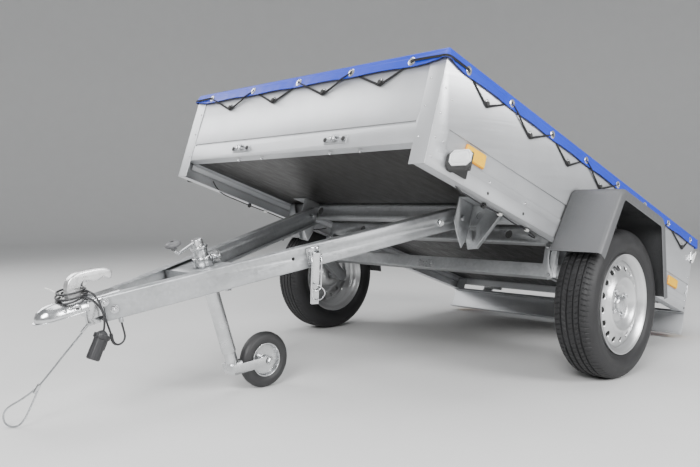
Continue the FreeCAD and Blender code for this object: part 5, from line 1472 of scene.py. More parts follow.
@dataclass
class CoverCloth:
    """The flat cover: one cloth over the bed's edge with skirts at its front and sides, and a rear flap."""

    half: float = 679.6
    front: float = -1039.6
    rear: float = 991.4
    top: float = 530.2
    hem: float = 484.6
    fan_start: float = -360.0
    corner: float = 7.0
    fold: float = 5.0
    spacing: float = 8.0
    sag: float = 5.0
    lean: float = 2.4
    bulge: float = 2.2
    hem_step: float = 0.8
    hem_slack: float = 2.4
    wave: float = 0.8
    ripple: float = 0.6
    pucker: float = 2.4
    corner_reach: float = 46.0
    corner_drop: float = 8.5
    corner_folds: float = 2.6
    corner_out: float = 2.5
    flap_plane: float = 993.3
    flap_start: float = 528.0
    eyelet_level: float = 503.0
    cloth_m: float = 0.0012
    flap_m: float = 0.048
    flap_keep: float = 0.3
    side_eyelets: tuple = (-934, -686, -418, -162, 112, 375, 635, 898)
    front_eyelets: tuple = (-566, -279, -4, 270, 539)
    rear_eyelets: tuple = (-560, -280, 0, 280, 560)
    rows: tuple = (0.0, 0.1, 0.2, 0.26, 0.29, 0.38, 0.5, 0.62, 0.74, 0.86, 0.95, 1.0)

    def plan(self) -> tuple[Array, Array]:
        """The edge's plan line from the rear left corner to the rear right one, and its outward normals.

        The left half is two straight lines and an arc, and the right half is its mirror image.
        """
        side = np.linspace(self.rear, self.front + self.corner, int((self.rear - self.front) / self.spacing))
        across = np.linspace(self.half - self.corner, 0, int(self.half / self.spacing))
        turn = np.linspace(0, -math.pi / 2, 7)[1:-1]
        round_normal = np.stack([np.cos(turn), np.sin(turn)], -1)
        centre = np.array([self.half - self.corner, self.front + self.corner])
        line = np.vstack([
            np.column_stack([np.full(len(side), self.half), side]), centre + self.corner * round_normal,
            np.column_stack([across, np.full(len(across), self.front)]),
        ])
        ends = [np.tile(way, (len(run), 1)) for way, run in (([1, 0], side), ([0, -1], across))]
        normal = np.vstack([ends[0], round_normal, ends[1]])
        flip = np.array([-1, 1])
        return np.vstack([line, (line * flip)[-2::-1]]), np.vstack([normal, (normal * flip)[-2::-1]])

    @staticmethod
    def between(place: Array, eyelets: Sequence[float]) -> Array:
        """Slackness from 0 at an eyelet to 1 halfway to the next, as the squared sine of the share between.

        Args:
            place: places along an edge.
            eyelets: the eyelets' places.

        Returns:
            The slackness at each place.
        """
        knots = np.array([2 * eyelets[0] - eyelets[1], *eyelets, 2 * eyelets[-1] - eyelets[-2]], float)
        share = np.interp(place, knots, np.arange(len(knots)))
        return np.sin(math.pi * share) ** 2

    def slack(self, line: Array, normal: Array) -> Array:
        """Slackness at each point of the plan line, by the eyelets of its own face."""
        front = self.between(line[:, 0], self.front_eyelets)
        return np.where(np.abs(normal[:, 0]) < 0.5, front, self.between(line[:, 1], self.side_eyelets))

    def top_height(self, flat: Array) -> Array:
        """Height of the cloth over the bed: a shallow dish with slow waves, both zero at the edges.

        Args:
            flat: places (x, y) over the bed.

        Returns:
            The height at each place.
        """
        x = flat[..., 0] / self.half
        y = (2 * flat[..., 1] - self.front - self.rear) / (self.rear - self.front)
        dish = np.clip((1 - x**2) * (1 - y**2), 0, 1)
        waves = 0.9 * np.sin(7 * x + 3 * y + 1) + 0.7 * np.sin(17 * y - 5 * x) + 0.5 * np.cos(23 * x + 4 * y)
        return self.top - self.sag * dish + waves * dish * self.wave

    def skirt(self, line: Array, normal: Array) -> Array:
        """Rows of the skirts: outward is lean plus bulge plus folds, and the hem follows the eyelets.

        Args:
            line: the edge's line seen from above.
            normal: its outward directions.

        Returns:
            Rows of points from the top fold down.
        """
        slack = self.slack(line, normal)[None]
        share = np.array(self.rows)[:, None]
        beyond = 400 * (line[:, 1] > 0)
        away = np.linalg.norm(np.abs(line) - [self.half, -self.front], axis=1) + beyond
        corner = np.exp(-((away / self.corner_reach) ** 2))[None]
        hem = self.hem + self.hem_slack * slack + self.corner_drop * corner
        x, y = line.T
        ripple = np.sin(0.061 * y + 0.043 * x + 0.7) + 0.6 * np.sin(0.137 * y - 0.11 * x)
        pucker = (1 - slack) ** 5 * np.sin(0.33 * (x + y))[None] * share * (1 - share)
        hang = self.lean * share**2 + self.bulge * share**0.7 * slack
        out = hang + self.ripple * share * ripple[None] + self.pucker * pucker
        out = out + self.hem_step * np.clip((share - 0.26) / 0.03, 0, 1)
        folds = self.corner_folds * share * corner * np.sin(away / 7.5)[None]
        out = out + folds + self.corner_out * share * corner
        start = self.top - self.fold
        height = start + share * (hem - start)
        flat = line[None] + normal[None] * out[..., None]
        return np.concatenate([flat, height[..., None]], -1)

    def shell(self) -> Array:
        """Grid of the cover: rings from a spine to the edge, a quarter round over it, and the skirts."""
        line, normal = self.plan()
        spine = np.column_stack([np.zeros(len(line)), np.maximum(line[:, 1], self.fan_start)])
        inset = line - normal * self.fold
        share = np.concatenate([np.linspace(0, 0.9, 10), [0.94, 0.97, 0.988, 1.0]])[:, None, None]
        flat = spine + (inset - spine) * share
        over = np.concatenate([flat, self.top_height(flat)[..., None]], -1)
        turn = np.radians([18, 36, 54, 72])[:, None]
        edge = inset[None] + normal[None] * (self.fold * np.sin(turn))[..., None]
        drop = np.broadcast_to(self.top - self.fold * (1 - np.cos(turn)), edge.shape[:2])
        rounded = np.concatenate([edge, drop[..., None]], -1)
        return np.concatenate([over, rounded, self.skirt(line, normal)])

    def flap(self) -> Array:
        """Grid of the rear flap: it turns over the rear edge and hangs slack between its eyelets."""
        x = np.linspace(-self.half, self.half, int(2 * self.half / self.spacing))
        slack = self.between(x, self.rear_eyelets)[None]
        head = np.array([(991.7, 530.6), (992.5, 530.3), (993.1, 529.4), (self.flap_plane, self.flap_start)])
        share = np.array(self.rows)[1:, None]
        y = self.flap_plane + 1.6 * share**2 + self.bulge * share * slack + 0.3 * share * np.sin(x / 21)
        z = self.flap_start + share * (self.hem + 2.2 * slack - self.flap_start)
        skirt = np.stack([np.broadcast_to(x, y.shape), y + self.hem_step * (share > 0.27), z], -1)
        lead = np.broadcast_to(head[:, None], (4, len(x), 2))
        turned = np.concatenate([np.broadcast_to(x[None, :, None], (4, len(x), 1)), lead], -1)
        return np.concatenate([turned, skirt])

    def eyelet(self) -> Surface:
        """A rolled ring with a wide flange."""
        profile = [
            (6.6, -0.8), (6.6, 1.4), (7.6, 2.4), (9.6, 2.5), (12.6, 1.5), (14.6, 0.5), (14.8, -0.4),
            (12, -0.8),
        ]
        return lathe(profile, 28, ring=True)

    def ring_set(self, name: str, face: Face, places: Sequence[float], lift: float, side: int = 1) -> list:
        """Eyelets of one face, with a dark disc in each that paints the shade of its hole.

        Args:
            name: the face's name.
            face: the face, as it is on the left.
            places: places of the eyelets along it.
            lift: how far they stand off it.
            side: -1 for the right side of the trailer.

        Returns:
            The two pieces.
        """
        # the cloth isn't cut: a dark disc in each eyelet is painted shade where the hole would be
        level, hole_shade = self.eyelet_level, lathe([(6.9, 0), (0, 0.4)], 20)
        rings = joined(face.mounted(self.eyelet(), at, level, lift) for at in places)
        holes = joined(face.mounted(hole_shade, at, level, lift + 0.1) for at in places)
        return [
            BENCH.piece(f"eyelets_{name}", rings.on_side(side), BED, EYELET_STEEL, "bed", slot="bright_zinc"),
            BENCH.piece(
                f"eyelet_hole_shades_{name}", holes.on_side(side), BED, BLACK_PLASTIC, "bed", slot="black_plastic",
            ),
        ]

    def build(self, rests_on: Sequence[str]) -> None:
        """Both cloths with their eyelets.

        Args:
            rests_on: names of the pieces that the cover lies on; not used.
        """
        cloth = BENCH.piece(
            "cover_cloth", grid_surface(self.shell()), BED, TARP_BLUE, "bed", slot="cover_cloth",
            replaces=["cover"], sharp_deg=80,
        )
        self.thicken(cloth)
        rings = self.ring_set("left", LEFT_SIDE, self.side_eyelets, 5.7)
        rings += self.ring_set("right", LEFT_SIDE, self.side_eyelets, 5.7, -1)
        rings += self.ring_set("front", FRONT_SIDE, self.front_eyelets, 7.7)
        flap = BENCH.piece(
            "cover_flap_cloth", grid_surface(self.flap()), BED, TARP_BLUE, "bed", slot="cover_cloth",
            replaces=["cover_rear_flap"], sharp_deg=80,
        )
        self.thicken(flap)
        fittings = self.ring_set("rear", REAR_SIDE, self.rear_eyelets, 1.8)
        fittings.append(self.rear_cord())
        axis, anchor = BED.turn @ np.array([0, 0, 1.0]), BED.world([0, 993, 530.6])
        for piece in [flap, *fittings]:
            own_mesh(piece)

    def thicken(self, cloth: bpy.types.Object) -> None:
        """Gives a cloth its thickness on both sides of its surface."""
        wall = cloth.modifiers.new("cloth_thickness", "SOLIDIFY")
        wall.thickness, wall.offset = self.cloth_m, 0.0

    def rear_cord(self) -> bpy.types.Object:
        """Elastic cord that runs in and out of the rear flap's eyelets."""
        places = self.rear_eyelets
        runs = []
        for start, stop in zip(places[::2], places[1::2]):
            x = np.concatenate([[start - 3, start], np.linspace(start + 8, stop - 8, 30), [stop, stop + 3]])
            lift = np.concatenate([[0, 1.6], np.full(30, 4.6), [1.6, 0]])
            share = np.clip((x - start) / (stop - start), 0, 1)
            height = self.eyelet_level - 1.2 * np.sin(share * math.pi)
            runs.append(sweep(REAR_SIDE.place(np.stack([x, lift + 1.6, height], -1)), circle(2.2, 10)))
        return BENCH.piece("rear_lacing", joined(runs), BED, ELASTIC_BLACK, "bed", slot="cable_jacket")


@dataclass
class Lacing:
    """Doubled elastic cord from eyelet to hook and on, and the button hooks under the cover's hem."""

    cover: CoverCloth = field(default_factory=CoverCloth)
    strand: float = 2.1
    post: float = 4.4
    side_hooks: tuple = (-812, -549, -282, -22, 241, 504, 823)
    front_hooks: tuple = (-420, -140, 140, 415)
    side_level: float = 447.5
    front_level: float = 451.0

    def hook(self) -> Surface:
        """A tongue with a riveted eye at its top and a flanged button at its foot."""
        tongue = plate(rounded_outline([(-8, -11), (8, -11), (6.5, 14), (-6.5, 14)], 5.5, 6), 2.2, 0.7)
        post = lathe([(self.post, 1), (self.post * 0.9, 4), (self.post, 6.6)], 18)
        button = lathe([(0, 6.0), (7.4, 6.2), (8.2, 7.4), (7.6, 8.8), (4.5, 9.8), (0, 10.1)], 22)
        return joined([tongue, post, button])

    def rivet(self) -> Surface:
        """Ring and rivet in a hook's eye."""
        ring = lathe([(3.6, 2), (3.6, 3.2), (4.6, 3.6), (5.8, 3.1), (6.1, 2)], 20, ring=True)
        return joined([ring, rivet_head(3.7).moved(z=2.2)]).moved(0, 8.5, 0)

    def hook_line(
        self, left: float, hook: float, right: float, level: float, radius: float,
    ) -> tuple[Array, Array]:
        """One strand from an eyelet round the underside of a hook's post to the next eyelet.

        The two straight runs touch a circle round the post, and an arc below it joins them.

        Args:
            left: place of the first eyelet along the face.
            hook: place of the hook.
            right: place of the second eyelet.
            level: height of the post.
            radius: distance of the strand's centre from the post's.

        Returns:
            Points (along, up), and for each whether it belongs to the first run (-1), the arc (0) or the
            second run (1).
        """
        centre = np.array([hook, level])
        ends = [np.array([place, self.cover.eyelet_level]) for place in (left, right)]
        angles = []
        for end, sense in zip(ends, (1, -1)):
            toward = end - centre
            lean = math.acos(radius / np.linalg.norm(toward))
            angles.append(math.atan2(toward[1], toward[0]) + sense * lean)
        first, last = angles[0], angles[1] + TAU
        turn = np.linspace(first, last, 9)
        arc = centre + radius * np.stack([np.cos(turn), np.sin(turn)], -1)
        share = np.linspace(0, 1, 40)[:-1, None]
        down, up = ends[0] + (arc[0] - ends[0]) * share, ends[1] + (arc[-1] - ends[1]) * share
        run = np.concatenate([np.full(len(down), -1), np.zeros(len(arc)), np.full(len(up), 1)])
        return np.vstack([down, arc, up[::-1]]), run

    def strand_of(self, flat: Array, run: Array, outside: bool, cloth: float, level: float) -> Array:
        """Adds the outward place: outside legs lie on the skirt and dive into the eyelet, others go behind.

        Args:
            flat: points (along, up).
            run: the run that each point belongs to.
            outside: whether the hook's legs lie outside the cloth.
            cloth: how far the cloth's middle stands off the face at its top.
            level: height of the hook's post.

        Returns:
            Points (along, outward, up).
        """
        up = flat[:, 1]
        if outside:
            heights = [level, 474, 484, 497, 501, self.cover.eyelet_level]
            lift = np.interp(up, heights, [3.6, 6.4, cloth + 6.3, cloth + 5.0, cloth + 3.4, cloth + 1.0])
            keep = np.full(len(up), True)
        else:
            lift = np.interp(up, [level, 478, 500], [3.6, 2.8, 2.4])
            keep = (up < 494) | (run == 0)
        return np.stack([flat[:, 0], lift, up], -1)[keep]

    def edge(
        self, name: str, face: Face, hooks: Sequence[float], eyelets: Sequence[float],
        outside: Sequence[bool], cloth: float, level: float, side: int = 1,
    ) -> None:
        """Hooks and cord of one edge of the bed.

        Args:
            name: the edge's name.
            face: the face that carries the hooks.
            hooks: their places along it.
            eyelets: places of the eyelets, one more than the hooks.
            outside: for each hook, whether its legs lie outside the cloth.
            cloth: how far the cloth's middle stands off the face.
            level: height of the hooks' posts.
            side: -1 for the right side of the trailer.
        """
        strands = []
        for hook, left, right, out in zip(hooks, eyelets, eyelets[1:], outside):
            for layer in range(2):
                radius = self.post + self.strand * (1.1 + 2.15 * layer)
                flat, run = self.hook_line(left, hook, right, level, radius)
                points = self.strand_of(flat, run, out, cloth, level)
                path = even_line(face.place(points), 3.2)
                strands.append(sweep(path, circle(self.strand, 8), up=face.outward))
        bodies = joined(face.mounted(self.hook(), place, level) for place in hooks).on_side(side)
        rivets = joined(face.mounted(self.rivet(), place, level) for place in hooks).on_side(side)
        cords = joined(strands).on_side(side)
        BENCH.piece(f"lacing_{name}", cords, BED, ELASTIC_BLACK, "bed", slot="cable_jacket")
        BENCH.piece(f"hooks_{name}", bodies, BED, BLACK_PLASTIC, "bed", slot="black_plastic")
        BENCH.piece(f"hook_rivets_{name}", rivets, BED, BRIGHT_ZINC, "bed", slot="bright_zinc")

    def corner(self, side: int) -> None:
        """Doubled cord from the last front eyelet round the corner to the first side one.

        Args:
            side: 1 for the left corner and -1 for the right one.
        """
        first = max(side * at for at in self.cover.front_eyelets)
        line = np.array([
            (first, -1041, 503), (first + 5, -1045.5, 503.2), (first + 14, -1046.4, 503.5),
            (620, -1046.8, 502.2), (655, -1047.6, 500.8), (674, -1048.2, 500.2), (684.5, -1043, 500.2),
            (688, -1030, 500.6), (687.2, -1005, 501.5), (685.6, -970, 502.6), (685, -944, 503.2),
            (683.4, -938, 503), (680, -934, 503),
        ])
        path = even_line(curve_through(line, 6), 3.2)
        strands = [sweep(path + [0, 0, lift], circle(self.strand, 8)) for lift in (-2.3, 2.3)]
        Sided(side).add("lacing_corner_{}", joined(strands), ELASTIC_BLACK, slot="cable_jacket")

    def build(self) -> None:
        """Both sides, the front and the two corners."""
        crossed = (False, True, False, True, False, True, False)
        cover = self.cover
        for side, name in SIDES:
            self.edge(
                name, LEFT_SIDE, self.side_hooks, cover.side_eyelets, crossed, 3.6, self.side_level, side,
            )
            self.corner(side)
        self.edge(
            "front", FRONT_SIDE, self.front_hooks, cover.front_eyelets, crossed[1:5], 5.6, self.front_level,
        )


@dataclass
class Signals(Sided):
    """Marker lamps, side reflectors and tail lamps."""

    @staticmethod
    def octagon(left: float, right: float, low: float, high: float, cut: float) -> Array:
        """Outline of an oblong with its corners cut."""
        return np.array([
            (left + cut, low), (right - cut, low), (right, low + cut), (right, high - cut),
            (right - cut, high), (left + cut, high), (left, high - cut), (left, low + cut),
        ])

    def marker(self) -> None:
        """White lens with an inner frame on a dark stepped foot that tapers back along the panel."""
        a, b, low, high = 676.4, 768.2, 175.2, 237.8
        face = Face((0, -934, 0), (1, 0, 0), (0, -1, 0))
        base = face.mounted(plate(self.octagon(a, b, low, high, 15.0), 10.5, 2.0), 0, 0)
        wedge = rounded_outline([(a, -935), (752.5, -935), (752.5, -929), (a + 7, -842.5), (a, -842.5)], 2.4)
        foot = plate(wedge, 46.6, 2.0)
        seat = plate(rounded_outline([(a, -935.5), (763, -935.5), (759, -924), (a, -915)], 2.4), 56, 1.6)
        dark = joined([base, foot.moved(z=183.2), seat.moved(z=178.4)])
        self.add(
            "marker_foot_{}", dark, BLACK_PLASTIC, slot="black_plastic",
            replaces=[f"marker_lamp_{self.label}"],
        )
        outline = self.octagon(690.5, b - 0.6, 188.0, high - 0.6, 12.5)
        steps = (
            (0, 6), (0, 14.5), (1.4, 16.2), (4.2, 16.6), (5.2, 15.4), (6.4, 15.0), (8.0, 16.4), (13, 17.4),
            (18, 17.8),
        )
        lens = face.mounted(stepped(outline, steps), 0, 0)
        self.add("marker_lens_{}", lens, WHITE_LENS, slot="lamp_plastic")

    def reflector(self, start: float, stop: float, low: float, high: float, name: str) -> None:
        """Oblong reflector in the panel's sunk band.

        Args:
            start: its front end along the bed.
            stop: its rear end.
            low: its lower edge.
            high: its upper edge.
            name: front or rear.
        """
        face = Face((672.2, 0, 0), (0, 1, 0), (1, 0, 0))
        width, height = stop - start, high - low
        base = face.mounted(slab(width, height, 4.0, 6.0, 0.8), (start + stop) / 2, (low + high) / 2)
        lens = face.mounted(slab(width - 5, height - 5, 8.0, 4.5, 1.6), (start + stop) / 2, (low + high) / 2)
        self.add(f"reflector_base_{name}_{{}}", base, AMBER_DEEP, slot="lamp_plastic")
        self.add(f"reflector_{name}_{{}}", lens, AMBER_LENS, slot="lamp_plastic")

    def tail(self) -> None:
        """Tail lamp: a dark tray under three lenses with rounded rims, the outer one amber."""
        face = Face((0, 970.3, 0), (1, 0, 0), (0, 1, 0))
        middle = 113.9
        tray = face.mounted(slab(210, 88, 16, 10, 1.5), 548, middle)
        self.add(
            "tail_lamp_tray_{}", tray, BLACK_PLASTIC, slot="black_plastic",
            replaces=[f"rear_lamp_{self.label}"],
        )
        rim = ((0, 15), (0, 32), (1.2, 37), (3.5, 40.2), (6.5, 41.2), (7.5, 40.4), (8.5, 41.4))
        for name, start, stop, finish in (
            ("amber", 594, 651.6, AMBER_LENS), ("red", 500.6, 593, RED_LENS),
            ("clear", 444.4, 499.6, WHITE_LENS),
        ):
            across, up = (stop - start) / 2, 42.5
            outline = rounded_outline([(-across, -up), (across, -up), (across, up), (-across, up)], 7)
            lens = face.mounted(stepped(outline, rim), (start + stop) / 2, middle)
            self.add(f"tail_lens_{name}_{{}}", lens, finish, slot="rear_lens")
        for x in (500, 593.5):
            screw = face.mounted(rivet_head(3.2), x, middle + 30, 40.6)
            self.add(f"tail_screw_{int(x)}_{{}}", screw, BRIGHT_ZINC)

    def build(self) -> None:
        """All lamps and reflectors of one side."""
        self.marker()
        self.reflector(-863, -758, 246, 294, "front")
        self.reflector(733, 837, 246, 289, "rear")
        self.tail()


@dataclass
class BodyFittings(Sided):
    """Rivets, holes, latches, clips and straps on the bed."""

    panel_spots: tuple = ((-712, 219), (-497, 220), (470, 220), (712, 219), (956, 219))
    post_spots: tuple = (
        (-1014, 194), (-1014, 254), (-1014, 330), (-1014, 410), (-976, 389), (-976, 254), (948, 330),
        (948, 254),
    )
    front_spots: tuple = (250, 349, 438)
    hole_drop: float = 36.0
    wire_route: tuple = (
        (668, -870, 200), (650, -856, 176), (644, -820, 159), (641, -740, 156), (639, -673, 155),
        (640, -578, 157), (634, -480, 155), (634, -395, 156), (626, -330, 154), (600, -290, 158),
        (560, -262, 176),
    )

    def studs(self) -> None:
        """Rivets of the panel, its posts and the front wall, and small dark holes below the panel's."""
        rivets = [LEFT_SIDE.mounted(rivet_head(4.6), y, z, -0.05) for y, z in self.panel_spots]
        small = [LEFT_SIDE.mounted(rivet_head(3.6), y, z, -0.05) for y, z in self.post_spots]
        front = [FRONT_SIDE.mounted(rivet_head(3.6), 629, z, 2.0) for z in self.front_spots]
        self.add("panel_rivets_{}", joined(rivets + small + front), BRIGHT_ZINC, slot="bright_zinc")
        rim = [(5.4, -0.3), (5.4, 0.5), (4.6, 0.9), (3.6, 0.5), (3.6, -0.3)]
        grommet, plug = lathe(rim, 20, ring=True), lathe([(3.8, 0.1), (2, 0.3), (0, 0.35)], 16)
        holes, plugs = (
            joined(LEFT_SIDE.mounted(part, y, z - self.hole_drop) for y, z in self.panel_spots)
            for part in (grommet, plug)
        )
        self.add("panel_grommets_{}", holes, BLACK_PLASTIC, slot="black_plastic")
        self.add("panel_hole_plugs_{}", plugs, BLACK_PLASTIC, slot="black_plastic")

    def latch(self) -> None:
        """Rear corner fastener: a plate on the panel and a bowed lever that reaches the tailgate's rim."""
        foot = plate(rounded_outline([(-17, -26), (17, -26), (17, 26), (-17, 26)], 4), 2.4)
        base = LEFT_SIDE.mounted(foot, 955, 432)
        cheeks = [LEFT_SIDE.mounted(slab(2.4, 30, 11, 0.8, 0.4), 955 + at, 432) for at in (-9, 9)]
        line = LEFT_SIDE.place([(944, 8, 438), (955, 8, 438), (966, 8, 438)])
        pin = sweep(line, circle(2.6, 14), up=(1, 0, 0))
        bolts = [LEFT_SIDE.mounted(rivet_head(3.4), 955, z, 2.4) for z in (411, 453)]
        self.add("gate_catch_base_{}", joined([base, *cheeks, pin, *bolts]), BRIGHT_ZINC, slot="bright_zinc")
        line = curve_through([
            (943, 9, 402), (948, 13, 416), (955, 13.5, 436), (966, 12, 452), (980, 8.5, 462), (988, 5, 468),
        ], 6)
        blade = rounded_outline([(-8, -1.3), (8, -1.3), (8, 1.3), (-8, 1.3)], 1.0, 4)
        taper = np.interp(np.linspace(0, 1, len(line)), [0, 0.15, 1], [0.7, 1, 0.8])
        lever = sweep(LEFT_SIDE.place(line), blade, up=(1, 0, 0.05), scale=taper)
        self.add("gate_catch_lever_{}", lever, WHITE_NYLON, slot="grip_plastic")

    def strap(self) -> None:
        """Bent strip from the panel's foot down beside the axle's end, with its two bolts."""
        line = curve_through([
            (600, -182, 170), (600, -183, 140), (603, -183, 104), (614, -182, 66), (630, -180, 34),
        ], 6)
        strip = rounded_outline([(-11, -1.5), (11, -1.5), (11, 1.5), (-11, 1.5)], 1.0, 3)
        body = sweep(line, strip, up=(0, 1, 0.02))
        front = Face((0, -184.5, 0), (1, 0, 0), (0, -1, 0))
        bolts = [front.mounted(bolt_head(6), 600, 152), front.mounted(bolt_head(6), 623, 48, -2.5)]
        self.add("guard_strap_{}", body, ZINC_SECTION, slot="zinc_dark")
        self.add("guard_strap_bolts_{}", joined(bolts), BRIGHT_ZINC, slot="bright_zinc")

    def wiring(self) -> None:
        """Thin lead of the marker lamp along the panel's foot, with its clips and a grommet ring."""
        wire = sweep(curve_through(self.wire_route, 8), circle(2.4, 10))
        self.add("marker_wire_{}", wire, CABLE_BLACK, slot="cable_jacket")
        clips = [slab(13, 16, 8, 2).moved(x, y, 152) for x, y in ((640, -578), (634, -395))]
        self.add("wire_clips_{}", joined(clips), WHITE_NYLON)
        ring = lathe([(5, -3), (5, 3), (7, 5), (10, 3), (10, -3), (7, -5)], 22, ring=True).turned(ALONG_Y)
        self.add("wire_grommet_{}", ring.moved(639, -673, 155), BLACK_PLASTIC, slot="black_plastic")

    def build(self) -> None:
        """Small parts of one side."""
        self.studs()
        self.latch()
        self.strap()
        self.wiring()


@dataclass
class Underbody:
    """Bolts and plates on the axle and the front wall, given by their places across the bed."""

    foot_bolts: tuple = (-286, -142, 235, 377)
    hook_middle: float = 265.0
    cap_beside: float = 44.0
    rod_beside: float = 7.0
    plate_middle: float = 22.0
    plate_rivet: float = 33.0

    def build(self) -> None:
        """Small parts that lie across the bed."""
        foot = [bolt_head(6).turned(ALONG_MINUS_Z).moved(x, -1018, 226) for x in self.foot_bolts]
        BENCH.piece("front_foot_bolts", joined(foot), BED, BRIGHT_ZINC, "bed", slot="bright_zinc")
        middles = (-self.hook_middle, self.hook_middle)
        cap = lathe([(8.2, 0), (8, 1.6), (5.5, 3), (0, 3.4)], 22)
        beside = [middle + side * self.cap_beside for middle in middles for side in (-1, 1)]
        caps = [FRONT_SIDE.mounted(cap, x, 264, 7.9) for x in beside]
        BENCH.piece("hook_bolt_caps", joined(caps), BED, BLACK_PLASTIC, "bed", slot="black_plastic")
        rods = []
        for x in (middle + side * self.rod_beside for middle in middles for side in (-1, 1)):
            line = curve_through([(x, 2, 275), (x, 12, 275), (x, 17.5, 271), (x, 18.5, 263), (x, 17, 256)], 5)
            rods.append(sweep(FRONT_SIDE.place(line), circle(3.1, 12), up=(1, 0, 0)))
        BENCH.piece("hold_down_hooks", joined(rods), BED, BRIGHT_ZINC, "bed", slot="bright_zinc")
        axle = Face((0, -175.0, 0), (1, 0, 0), (0, -1, 0))
        plate_body = axle.mounted(slab(76, 32, 1.2, 3, 0.3), self.plate_middle, 60)
        BENCH.piece("type_plate_blank", plate_body, BED, PLATE_BARE, "bed")
        ends = (self.plate_middle - self.plate_rivet, self.plate_middle + self.plate_rivet)
        studs = [axle.mounted(rivet_head(2.4), x, 60, 1.2) for x in ends]
        BENCH.piece("type_plate_rivets", joined(studs), BED, BRIGHT_ZINC, "bed")


@dataclass
class BarFittings:
    """Bolts of the beams, lever and bosses of the coupling, and the clips of the two hold-down levers."""

    tan_splay: float = 0.3046
    web: float = 41.0

    def on_beam(self, surface: Surface, s: float, h: float, side: int = 1) -> Surface:
        """A surface drawn on z = 0, stood on the outer face of a beam.

        Args:
            surface: the part, its back on z = 0.
            s: how far behind the coupling it goes.
            h: how high it goes.
            side: 1 for the left beam and -1 for the right one.

        Returns:
            The surface in the drawbar's millimetres.
        """
        angle = math.atan(self.tan_splay)
        along = (math.sin(angle), math.cos(angle), 0)
        outward = (math.cos(angle), -math.sin(angle), 0)
        face = Face((self.web + self.tan_splay * s, s, 0), along, outward)
        return face.mounted(surface, 0, h).on_side(side)

    def bolts(self) -> None:
        """Bolts through the beams where the coupling, the nose plate and the levers' plates sit."""
        spots = ((3, 59, 12), (25, 31, 12), (1130, 37, 12))
        heads = [self.on_beam(bolt_head(size), s, h, side) for s, h, size in spots for side in (1, -1)]
        BENCH.piece("beam_bolts", joined(heads), BAR, BRIGHT_ZINC, "drawbar", slot="bright_zinc")

    def handle(self) -> None:
        """Lever with a broad neck, a swept back and a grip with finger waves, and its small trigger."""
        outline = curve_through([
            (-47, 78), (-46, 98), (-43, 114), (-37, 126), (-28, 129.5), (-15, 125), (0, 121.5), (12, 120.5),
            (21, 123), (28, 125.5), (35, 121.5), (43, 116.5), (50, 116.5), (56, 122), (58.2, 131),
            (55, 140), (46, 147), (30, 152.5), (6, 156.2), (-20, 158.4), (-40, 158), (-56, 154),
            (-70, 145.5), (-79, 134), (-84, 119), (-86, 100), (-86, 78),
        ], 5, closed=True)
        lever = cushion_plate(outline, 31, 5.5).turned(UPRIGHT).moved(x=-15.5)
        trigger = rounded_outline([(-37, 112), (-22, 118), (-20, 128), (-33, 131)], 3.0)
        press = plate(trigger, 22, 1.5).turned(UPRIGHT).moved(x=-11)
        BENCH.piece(
            "coupling_lever", joined([lever, press]), BAR, CAST_LEVER, "drawbar", slot="bright_zinc",
            replaces=["coupling_handle"], sharp_deg=40,
        )

    def coupling(self) -> None:
        """Boss with its dark window and two rivets on each flank of the coupling."""
        for side, label in SIDES:
            flank = Face((33.4, 0, 0), (0, 1, 0), (1, 0, 0))
            raised = lathe([(13, 0), (13, 2.4), (11.6, 3.6), (9, 3.8), (8, 2.6), (0, 2.4)], 26)
            boss = flank.mounted(raised, -75, 63)
            rivets = [flank.mounted(rivet_head(6.5), s, h, 1.6) for s, h in ((-110, 66), (-93, 68))]
            shown = joined([boss, *rivets]).on_side(side)
            BENCH.piece(f"coupling_boss_{label}", shown, BAR, BRIGHT_ZINC, "drawbar")
            window = flank.mounted(slab(12, 7, 1.2, 2.5, 0.3), -75, 63, 2.2).on_side(side)
            BENCH.piece(f"coupling_window_{label}", window, BAR, BLACK_PLASTIC, "drawbar")

    def clips(self) -> None:
        """Sprung wire loop through the foot of each hold-down lever."""
        for side, label in SIDES:
            line = curve_through([
                (258, 600, -45), (262, 615, -52), (266, 632, -66), (268, 640, -86), (264, 628, -102),
                (259, 610, -104), (257, 598, -98), (256, 596, -80), (257, 600, -62),
            ], 6)
            wire = sweep(line, circle(1.7, 8), up=(1, 0.1, 0.2)).on_side(side)
            BENCH.piece(f"lever_clip_{label}", wire, BAR, BRIGHT_ZINC, "drawbar")

    def build(self) -> None:
        """All fittings of the drawbar."""
        self.bolts()
        self.handle()
        self.coupling()
        self.clips()


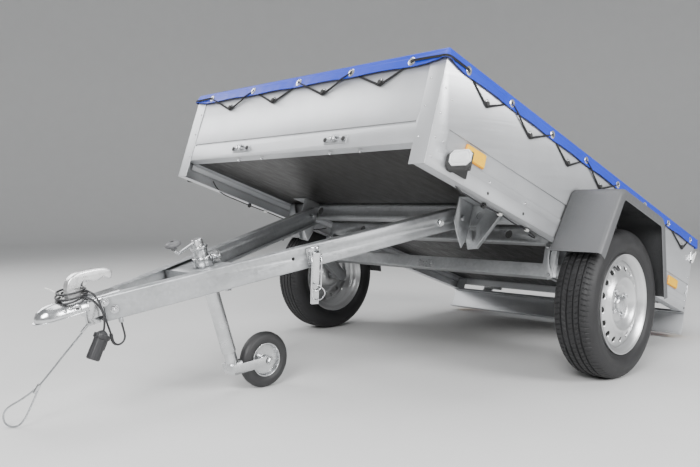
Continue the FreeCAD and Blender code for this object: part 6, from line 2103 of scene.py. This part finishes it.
@dataclass
class JockeyFittings:
    """Knob of the crank and the axle bolt of the jockey wheel."""

    lean_deg: float = 17.45
    axle_place: tuple = (-662.04, 98.0)

    def knob(self) -> None:
        """Turned knob: a stem that spreads into a domed head."""
        low, high = (np.array(corner) * 1000 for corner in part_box("crank_knob"))
        up = TippedFrame((0, 0, 0), self.lean_deg).turn @ np.array([0, 0, 1.0])
        profile = [
            (8, 0.2), (9.5, 1.4), (10, 4.5), (12.5, 7.5), (19, 9.8), (24.6, 13), (26.2, 16.6), (25.2, 20.8),
            (21.5, 24.8), (14.5, 27.4), (6, 28.3),
        ]
        seat = (low + high) / 2 - up * 14
        turned = lathe(curve_through(profile, 3), 40).turned(aim(up)).moved(*seat)
        BENCH.piece(
            "crank_grip", turned, WORLD_MM, KNOB_GREY, "drawbar", slot="grip_plastic",
            replaces=["crank_knob"],
        )

    def axle_bolt(self) -> None:
        """Bolt head on one end of the jockey wheel's axle and a locking nut on the other."""
        low, high = (np.array(corner) * 1000 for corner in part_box("jockey_leg"))
        head = bolt_head(12).turned(ALONG_X).moved(high[0] - 0.2, *self.axle_place)
        nut = joined([hex_nut(19, 9), lathe([(6, 0), (6, 14), (5, 15), (0, 15)], 16)])
        nut = nut.turned(ALONG_MINUS_X).moved(low[0] + 0.2, *self.axle_place)
        BENCH.piece("jockey_axle_bolt", head, WORLD_MM, BRIGHT_ZINC, "jockey_leg")
        BENCH.piece("jockey_axle_nut", nut, WORLD_MM, BRIGHT_ZINC, "jockey_leg")

    def build(self) -> None:
        """Knob and bolt."""
        self.knob()
        self.axle_bolt()


def main() -> None:
    """Builds the studio, the cords and then the trailer from the ground up."""
    logging.basicConfig(level=logging.INFO, format="%(name)s %(message)s")
    Studio().build()
    TowCords().build()
    for side, _ in SIDES:
        RoadWheel(side).build()
        Mudguard(side).build()
        Signals(side).build()
        BodyFittings(side).build()
    Underbody().build()
    BarFittings().build()
    JockeyFittings().build()
    Lacing().build()
    soft = ("cover", "cover_rear_flap")
    for node, slot in SLOT_OF.items():
        solid = frame["nodes"][node]
        if not solid.hide_render and node not in soft:
            edge_mm = 0.8 if slot in ("zinc_sheet", "zinc_dark", "bright_zinc") else 0.0
            BENCH.dressed(node, SLOT_FINISH[slot], edge_mm)
    CoverCloth().build(["side_panel_left_dressed", "side_panel_right_dressed", "front_wall_dressed"])


if __name__ == "__main__":
    main()
